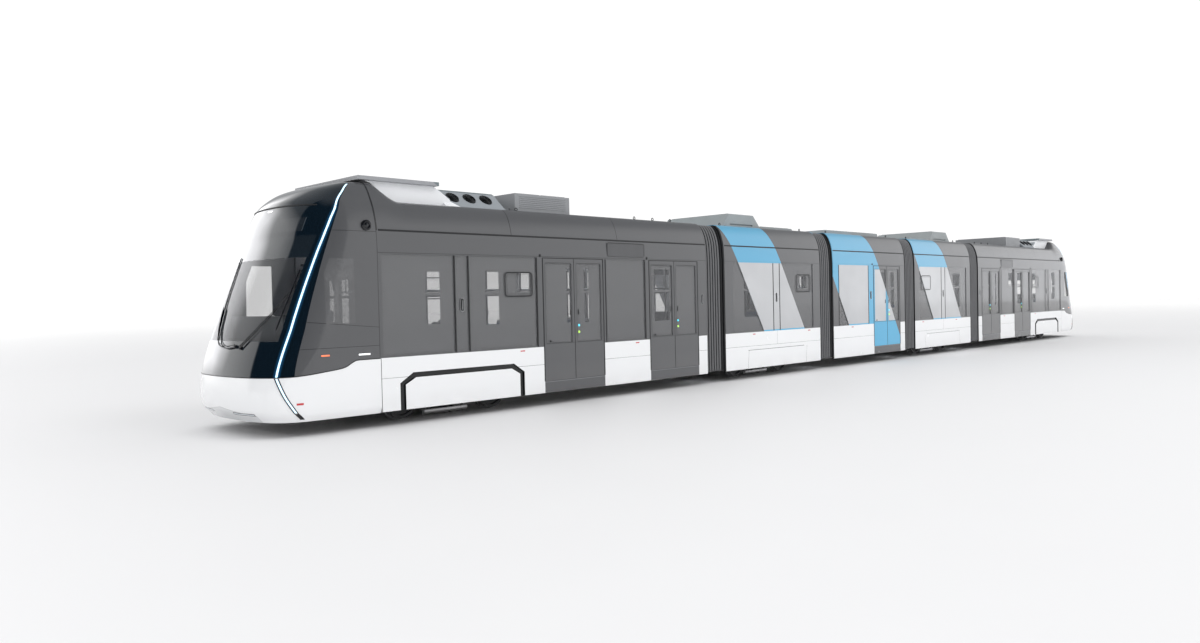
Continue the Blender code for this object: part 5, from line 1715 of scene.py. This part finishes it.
# %% [markdown]
# The driver's seat and the desk stand behind the windscreen. The desk has a hood over two small screens, and a
# lever for the driver's left hand. All but the lever are drawn once, from the side, and carried across.

# %% Driver's place
DRIVER_SHELL = [(15.27, 0.39), (15.27, 0.84), (15.10, 0.858), (15.018, 1.50), (15.02, 1.565), (15.05, 1.585),
                (15.13, 1.583), (15.15, 1.55), (15.25, 1.00), (15.61, 0.982), (15.632, 0.95), (15.632, 0.87),
                (15.61, 0.848), (15.45, 0.838), (15.45, 0.39)]
DESK_SHELL = [(15.944, 0.39), (15.944, 1.112), (15.712, 1.172), (15.69, 1.20), (15.692, 1.246), (15.72, 1.285),
              (16.01, 1.655), (16.04, 1.672), (16.16, 1.690), (16.285, 1.708), (16.288, 0.39)]
CUSHION = [(15.27, 0.985), (15.615, 0.975), (15.64, 0.99), (15.63, 1.025), (15.50, 1.035), (15.30, 1.025)]
BACK_REST = [(15.24, 1.03), (15.285, 1.05), (15.275, 1.18), (15.215, 1.48), (15.18, 1.545), (15.155, 1.55),
             (15.15, 1.50)]
HEAD_REST = [(15.085, 1.59), (15.165, 1.60), (15.185, 1.66), (15.165, 1.75), (15.12, 1.775), (15.075, 1.75),
             (15.07, 1.65)]
DESK_HOOD = [(15.86, 1.47), (16.00, 1.652), (15.985, 1.70), (15.90, 1.715), (15.86, 1.68)]
DESK_SCREEN = [(15.842, 1.47), (15.862, 1.462), (15.872, 1.66), (15.852, 1.665)]
SCREEN_STARTS, SCREEN_WIDTH = (-0.34, 0.04), 0.30
LEVER, LEVER_RADII = [(15.80, 0.42, 1.30), (15.785, 0.42, 1.36), (15.78, 0.42, 1.42)], [0.012, 0.010, 0.022]


def both_ways(profile, half, soft):
    return across_body(profile, -half, half, soft)


consoles = [both_ways(DRIVER_SHELL, 0.268, 0.014), both_ways(DESK_SHELL, 0.858, 0.012)]
pads = [both_ways(CUSHION, 0.23, 0.02), both_ways(BACK_REST, 0.21, 0.02), both_ways(HEAD_REST, 0.12, 0.02)]
desk_top = [both_ways(DESK_HOOD, 0.36, 0.02), tube(LEVER, LEVER_RADII, 12)]
screens = [across_body(DESK_SCREEN, start, start + SCREEN_WIDTH, 0.008) for start in SCREEN_STARTS]
DRIVER_PLACE = (("driver_shells", consoles, CONSOLE_GREY), ("driver_pads", pads, SEAT_CLOTH),
                ("desk_hood", desk_top, TRIM_BLACK), ("desk_screens", screens, DISPLAY_GLASS))
for end, sign, body in ENDS:
    for word, parts, finish in DRIVER_PLACE:
        object_of(f"{word}_{end}", at_end(parts, sign), finish, body)
print("driver's places ready")

# %% [markdown]
# Grab rails run under the ceiling, with poles beside the doors. Light covers follow them, and a flecked floor
# covering lies on the aisle. Curves with a bevel could make the rails, but a rod of rings also changes its
# radius on the way, which gives the poles their flanges.

# %% Rails, lights and floor covering
RAIL_LEVEL, RAIL_ACROSS, RAIL_END_LEVEL = 2.06, 0.56, 2.30
SALOONS = {"a": (7.30, 14.72), "b": (2.75, 6.30), "c": (-1.80, 1.80)}
POLES = {"a": (7.55, 8.80, 10.34, 11.60), "b": (3.02, 6.05), "c": (-1.55, -0.28, 0.28, 1.55)}
AISLES = {"a": ((7.16, 12.01, FLOOR_LEVEL), (12.03, 14.83, AISLE_LEVEL)),
          "b": ((2.64, 3.10, FLOOR_LEVEL), (3.12, 5.92, AISLE_LEVEL), (5.94, 6.40, FLOOR_LEVEL)),
          "c": ((-1.90, 1.90, FLOOR_LEVEL),)}
CEILING, HANGER_SPACING, AISLE_HALF = 3.362, 1.6, 0.485
LIGHT_ACROSS, LIGHT_HALF = 0.36, 0.07


def floor_under(like, x):
    """The level of the aisle under an X. Its last part is the answer where none other holds the X."""
    return next(level for low, high, level in AISLES[like] if low <= x <= high or high == AISLES[like][-1][1])


def rail(low, high, y):
    """A long rail whose ends turn up, and its hangers."""
    bend = ((0, RAIL_END_LEVEL), (0.03, RAIL_LEVEL + 0.03), (0.08, RAIL_LEVEL))
    path = [(low + run, y, z) for run, z in bend] + [(high - run, y, z) for run, z in bend[::-1]]
    hangers = np.linspace(low + 0.25, high - 0.25, 2 + int((high - low) / HANGER_SPACING))
    return [tube(path, 0.015, 10)] + [tube([(x, y, RAIL_LEVEL), (x, y, 2.7), (x, y, CEILING - 0.01)],
                                           [0.012, 0.012, 0.022], 10) for x in hangers]


def pole(x, y, floor):
    """A pole between the floor and the ceiling, with a flange at each end."""
    levels = (floor + 0.006, floor + 0.03, 1.5, CEILING - 0.01)
    return tube([(x, y, z) for z in levels], [0.034, 0.017, 0.017, 0.03], 12)


def light_cover(low, high, y):
    return bar((low, y - LIGHT_HALF, CEILING - 0.03), (high, y + LIGHT_HALF, CEILING - 0.004), 0.02)


for letter, like, sign in SECTIONS:
    low, high = SALOONS[like]
    rails, lights = [], []
    for side in (1, -1):
        rails += rail(low, high, side * RAIL_ACROSS)
        rails += [pole(x, side * RAIL_ACROSS, floor_under(like, x)) for x in POLES[like]]
        lights.append(light_cover(low + 0.1, high - 0.1, side * LIGHT_ACROSS))
    covers = [bar((x0, -AISLE_HALF, level + 0.0006), (x1, AISLE_HALF, level + 0.005), 0.002)
              for x0, x1, level in AISLES[like]]
    for word, parts, finish in (("grab_rails", rails, PALE_METAL), ("ceiling_lights", lights, CEILING_LIGHT),
                                ("floor_covering", covers, FLOOR_COVER)):
        object_of(f"{word}_{letter}", at_end(parts, sign), finish, f"section_{letter}")
print("insides ready")

# %% [markdown]
# Between the wheels, each bogie has axle boxes with coil springs, air springs on its side beams, dampers and
# track brakes. A coil is a round wire carried along a helix. A Screw modifier could turn one too, but there
# are 32 coils, and it would need an object for each.

# %% Bogie parts
BOGIES = (("front", "bogie_front"), ("b", "section_b"), ("d", "section_d"), ("rear", "bogie_rear"))
AIR_SPRING_PLACE, COIL_OFF, COIL_Y, COIL_LEVELS = (0.86, 0.432), 0.10, 1.0, (0.458, 0.545)
AIR_SPRING = [(0.004, 0.0), (0.150, 0.0), (0.158, 0.012), (0.130, 0.030), (0.148, 0.055), (0.156, 0.085),
              (0.148, 0.115), (0.128, 0.135), (0.148, 0.160), (0.154, 0.185), (0.140, 0.215), (0.145, 0.235),
              (0.145, 0.262), (0.004, 0.262)]
COIL_SEAT = [(0.004, 0.0), (0.075, 0.0), (0.075, 0.014), (0.004, 0.014)]
BOX_COVER = [(0.004, 1.062), (0.105, 1.062), (0.105, 1.085), (0.085, 1.10), (0.040, 1.115), (0.004, 1.118)]
DAMPER = ((0.34, 0.35, 0.016), (0.42, 0.36, 0.026), (0.60, 0.39, 0.026), (0.66, 0.40, 0.014))
DAMPER_Y, RAIL_Y = 1.10, 0.7175


def coil(x, y, low, high, radius=0.052, wire=0.011, turns=4):
    """A wire on a helix: (x + r cos a, y + r sin a) while it climbs evenly from low to high."""
    t = np.linspace(0, 1, turns * 14 + 1)
    angle = t * turns * 2 * math.pi
    side = np.stack([np.cos(angle), np.sin(angle), np.zeros_like(angle)], axis=1)
    path = np.stack([x + radius * side[:, 0], y + radius * side[:, 1], low + (high - low) * t], axis=1)
    around = np.linspace(0, 2 * math.pi, 8, endpoint=False)[None, :, None]
    circle = np.cos(around) * side[:, None] + np.sin(around) * np.array([0, 0, 1.0])
    return loft(path[:, None] + wire * circle)


def axle_box(x, side):
    """The cover, the spring seats and the spring plate of one axle box, and its two coils."""
    spots = [x - COIL_OFF, x + COIL_OFF]
    cover = turning([(r, side * y) for r, y in BOX_COVER], (x, 0, AXLE_LEVEL), 1, 32)
    seats = [turning(COIL_SEAT, (spot, side * COIL_Y, 0.434), 2, 24) for spot in spots]
    plate = bar((x - 0.19, side * 0.945, 0.555), (x + 0.19, side * 1.055, 0.59), 0.008)
    return [cover, *seats, plate], [coil(spot, side * COIL_Y, *COIL_LEVELS) for spot in spots]


def track_brake(centre, y):
    """A long magnet over the rail, and the two posts that it hangs from."""
    magnet = bar((centre - 0.44, y - 0.033, 0.030), (centre + 0.44, y + 0.033, 0.125), 0.010)
    posts = [bar((x - 0.02, y - 0.02, 0.115), (x + 0.02, y + 0.02, 0.25), 0.005)
             for x in (centre - 0.34, centre + 0.34)]
    return magnet, posts


for (word_end, body), centre in zip(BOGIES, BOGIE_CENTRES):
    steel, springs, magnets = [], [], []
    for side in (1, -1):
        springs.append(turning(AIR_SPRING, (centre, side * AIR_SPRING_PLACE[0], AIR_SPRING_PLACE[1]), 2, 40))
        steel.append(bar((centre - 0.30, side * 1.072, 0.245), (centre + 0.30, side * 1.088, 0.42), 0.006))
        magnet, posts = track_brake(centre, side * RAIL_Y)
        magnets.append(magnet)
        steel += posts
        for way in (1, -1):
            box, coils = axle_box(centre + way * HALF_BASE, side)
            steel += box
            springs += coils
        damper = [(centre + x, side * DAMPER_Y, z) for x, z, _ in DAMPER]
        steel.append(tube(damper, [radius for *_, radius in DAMPER], 12))
    for word, parts, finish in (("boxes", steel, STEEL_DARK), ("springs", springs, BELLOWS),
                                ("track_brakes", magnets, STEEL_BRIGHT)):
        object_of(f"bogie_{word}_{word_end}", parts, finish, body)
print("bogie parts", len(BOGIES))

# %% [markdown]
# The roof carries lids with soft edges on its boxes, louvres in the sides of some, lifting eyes along the edges
# and flat conduits for the cables. They are placed one by one in small tables, because a pattern that repeats
# at even steps would look unlike a real roof.

# %% Roof parts
ROOF = 3.42
LIDS = {"a": ((10.70, 11.28, 0.84, 3.752, 0.014), (11.32, 11.90, 0.84, 3.752, 0.014),
              (12.30, 13.43, 0.54, 3.742, 0.010)),
        "b": ((4.80, 5.20, 0.82, 3.722, 0.012), (5.24, 5.64, 0.82, 3.722, 0.012),
              (3.20, 3.76, 0.84, 3.482, 0.012), (3.80, 4.36, 0.84, 3.482, 0.012)),
        "c": ((-1.30, -0.46, 0.74, 3.532, 0.012), (-0.42, 0.42, 0.74, 3.532, 0.012),
              (0.46, 1.30, 0.74, 3.532, 0.012))}
EYES, EYE_ACROSS = {"a": (8.90, 8.35, 7.80, 11.97), "b": (6.10, 2.86), "c": (-1.62, 1.62)}, 0.94
EYE_RADIUS, EYE_WIRE, EYE_LIFT, EYE_STEPS = 0.026, 0.008, 0.040, 24
CONDUITS, CONDUIT_ACROSS = {"a": (7.30, 10.45), "b": (2.68, 3.02), "c": (-1.85, -1.52)}, (0.0, 0.30)
LOUVRE_ENDS, LOUVRE_LEVELS, LOUVRE_Y = (10.74, 11.86), np.linspace(3.50, 3.70, 7), 0.902


def eye(x, y):
    """A lifting eye: a ring that stands on a small foot."""
    angle = np.linspace(0, 2 * math.pi, EYE_STEPS, endpoint=False)[:, None]
    tilt = np.linspace(0, 2 * math.pi, 8, endpoint=False)
    radius = EYE_RADIUS + EYE_WIRE * np.cos(tilt)
    ring = np.empty((EYE_STEPS, 8, 3))
    ring[..., 0] = x + np.cos(angle) * radius
    ring[..., 1] = y + EYE_WIRE * np.sin(tilt)
    ring[..., 2] = ROOF + EYE_LIFT + np.sin(angle) * radius
    foot = bar((x - 0.03, y - 0.022, ROOF), (x + 0.03, y + 0.022, ROOF + 0.016), 0.005)
    return [loft(ring, closed=True), foot]


def conduit(low, high, y):
    return bar((low, y - 0.05, ROOF + 0.002), (high, y + 0.05, ROOF + 0.06), 0.012)


def louvre(y, z):
    return bar((LOUVRE_ENDS[0], y - 0.004, z), (LOUVRE_ENDS[1], y + 0.006, z + 0.010), 0.003)


for letter, like, sign in SECTIONS:
    body = f"section_{letter}"
    lids = [bar((x0, -half, z), (x1, half, z + thick), 0.005) for x0, x1, half, z, thick in LIDS[like]]
    fittings = [part for x in EYES[like] for y in (EYE_ACROSS, -EYE_ACROSS) for part in eye(x, y)]
    fittings += [conduit(*CONDUITS[like], y) for y in CONDUIT_ACROSS]
    lid_finish = ROOF_UNIT if like == "a" else ROOF_GREY
    object_of(f"roof_lids_{letter}", at_end(lids, sign), lid_finish, body)
    object_of(f"roof_fittings_{letter}", at_end(fittings, sign), STEEL_DARK, body)
    if like == "a":
        slats = [louvre(side * LOUVRE_Y, z) for z in LOUVRE_LEVELS for side in (1, -1)]
        object_of(f"roof_louvres_{letter}", at_end(slats, sign), ROOF_UNIT, body)
print("roof parts ready")
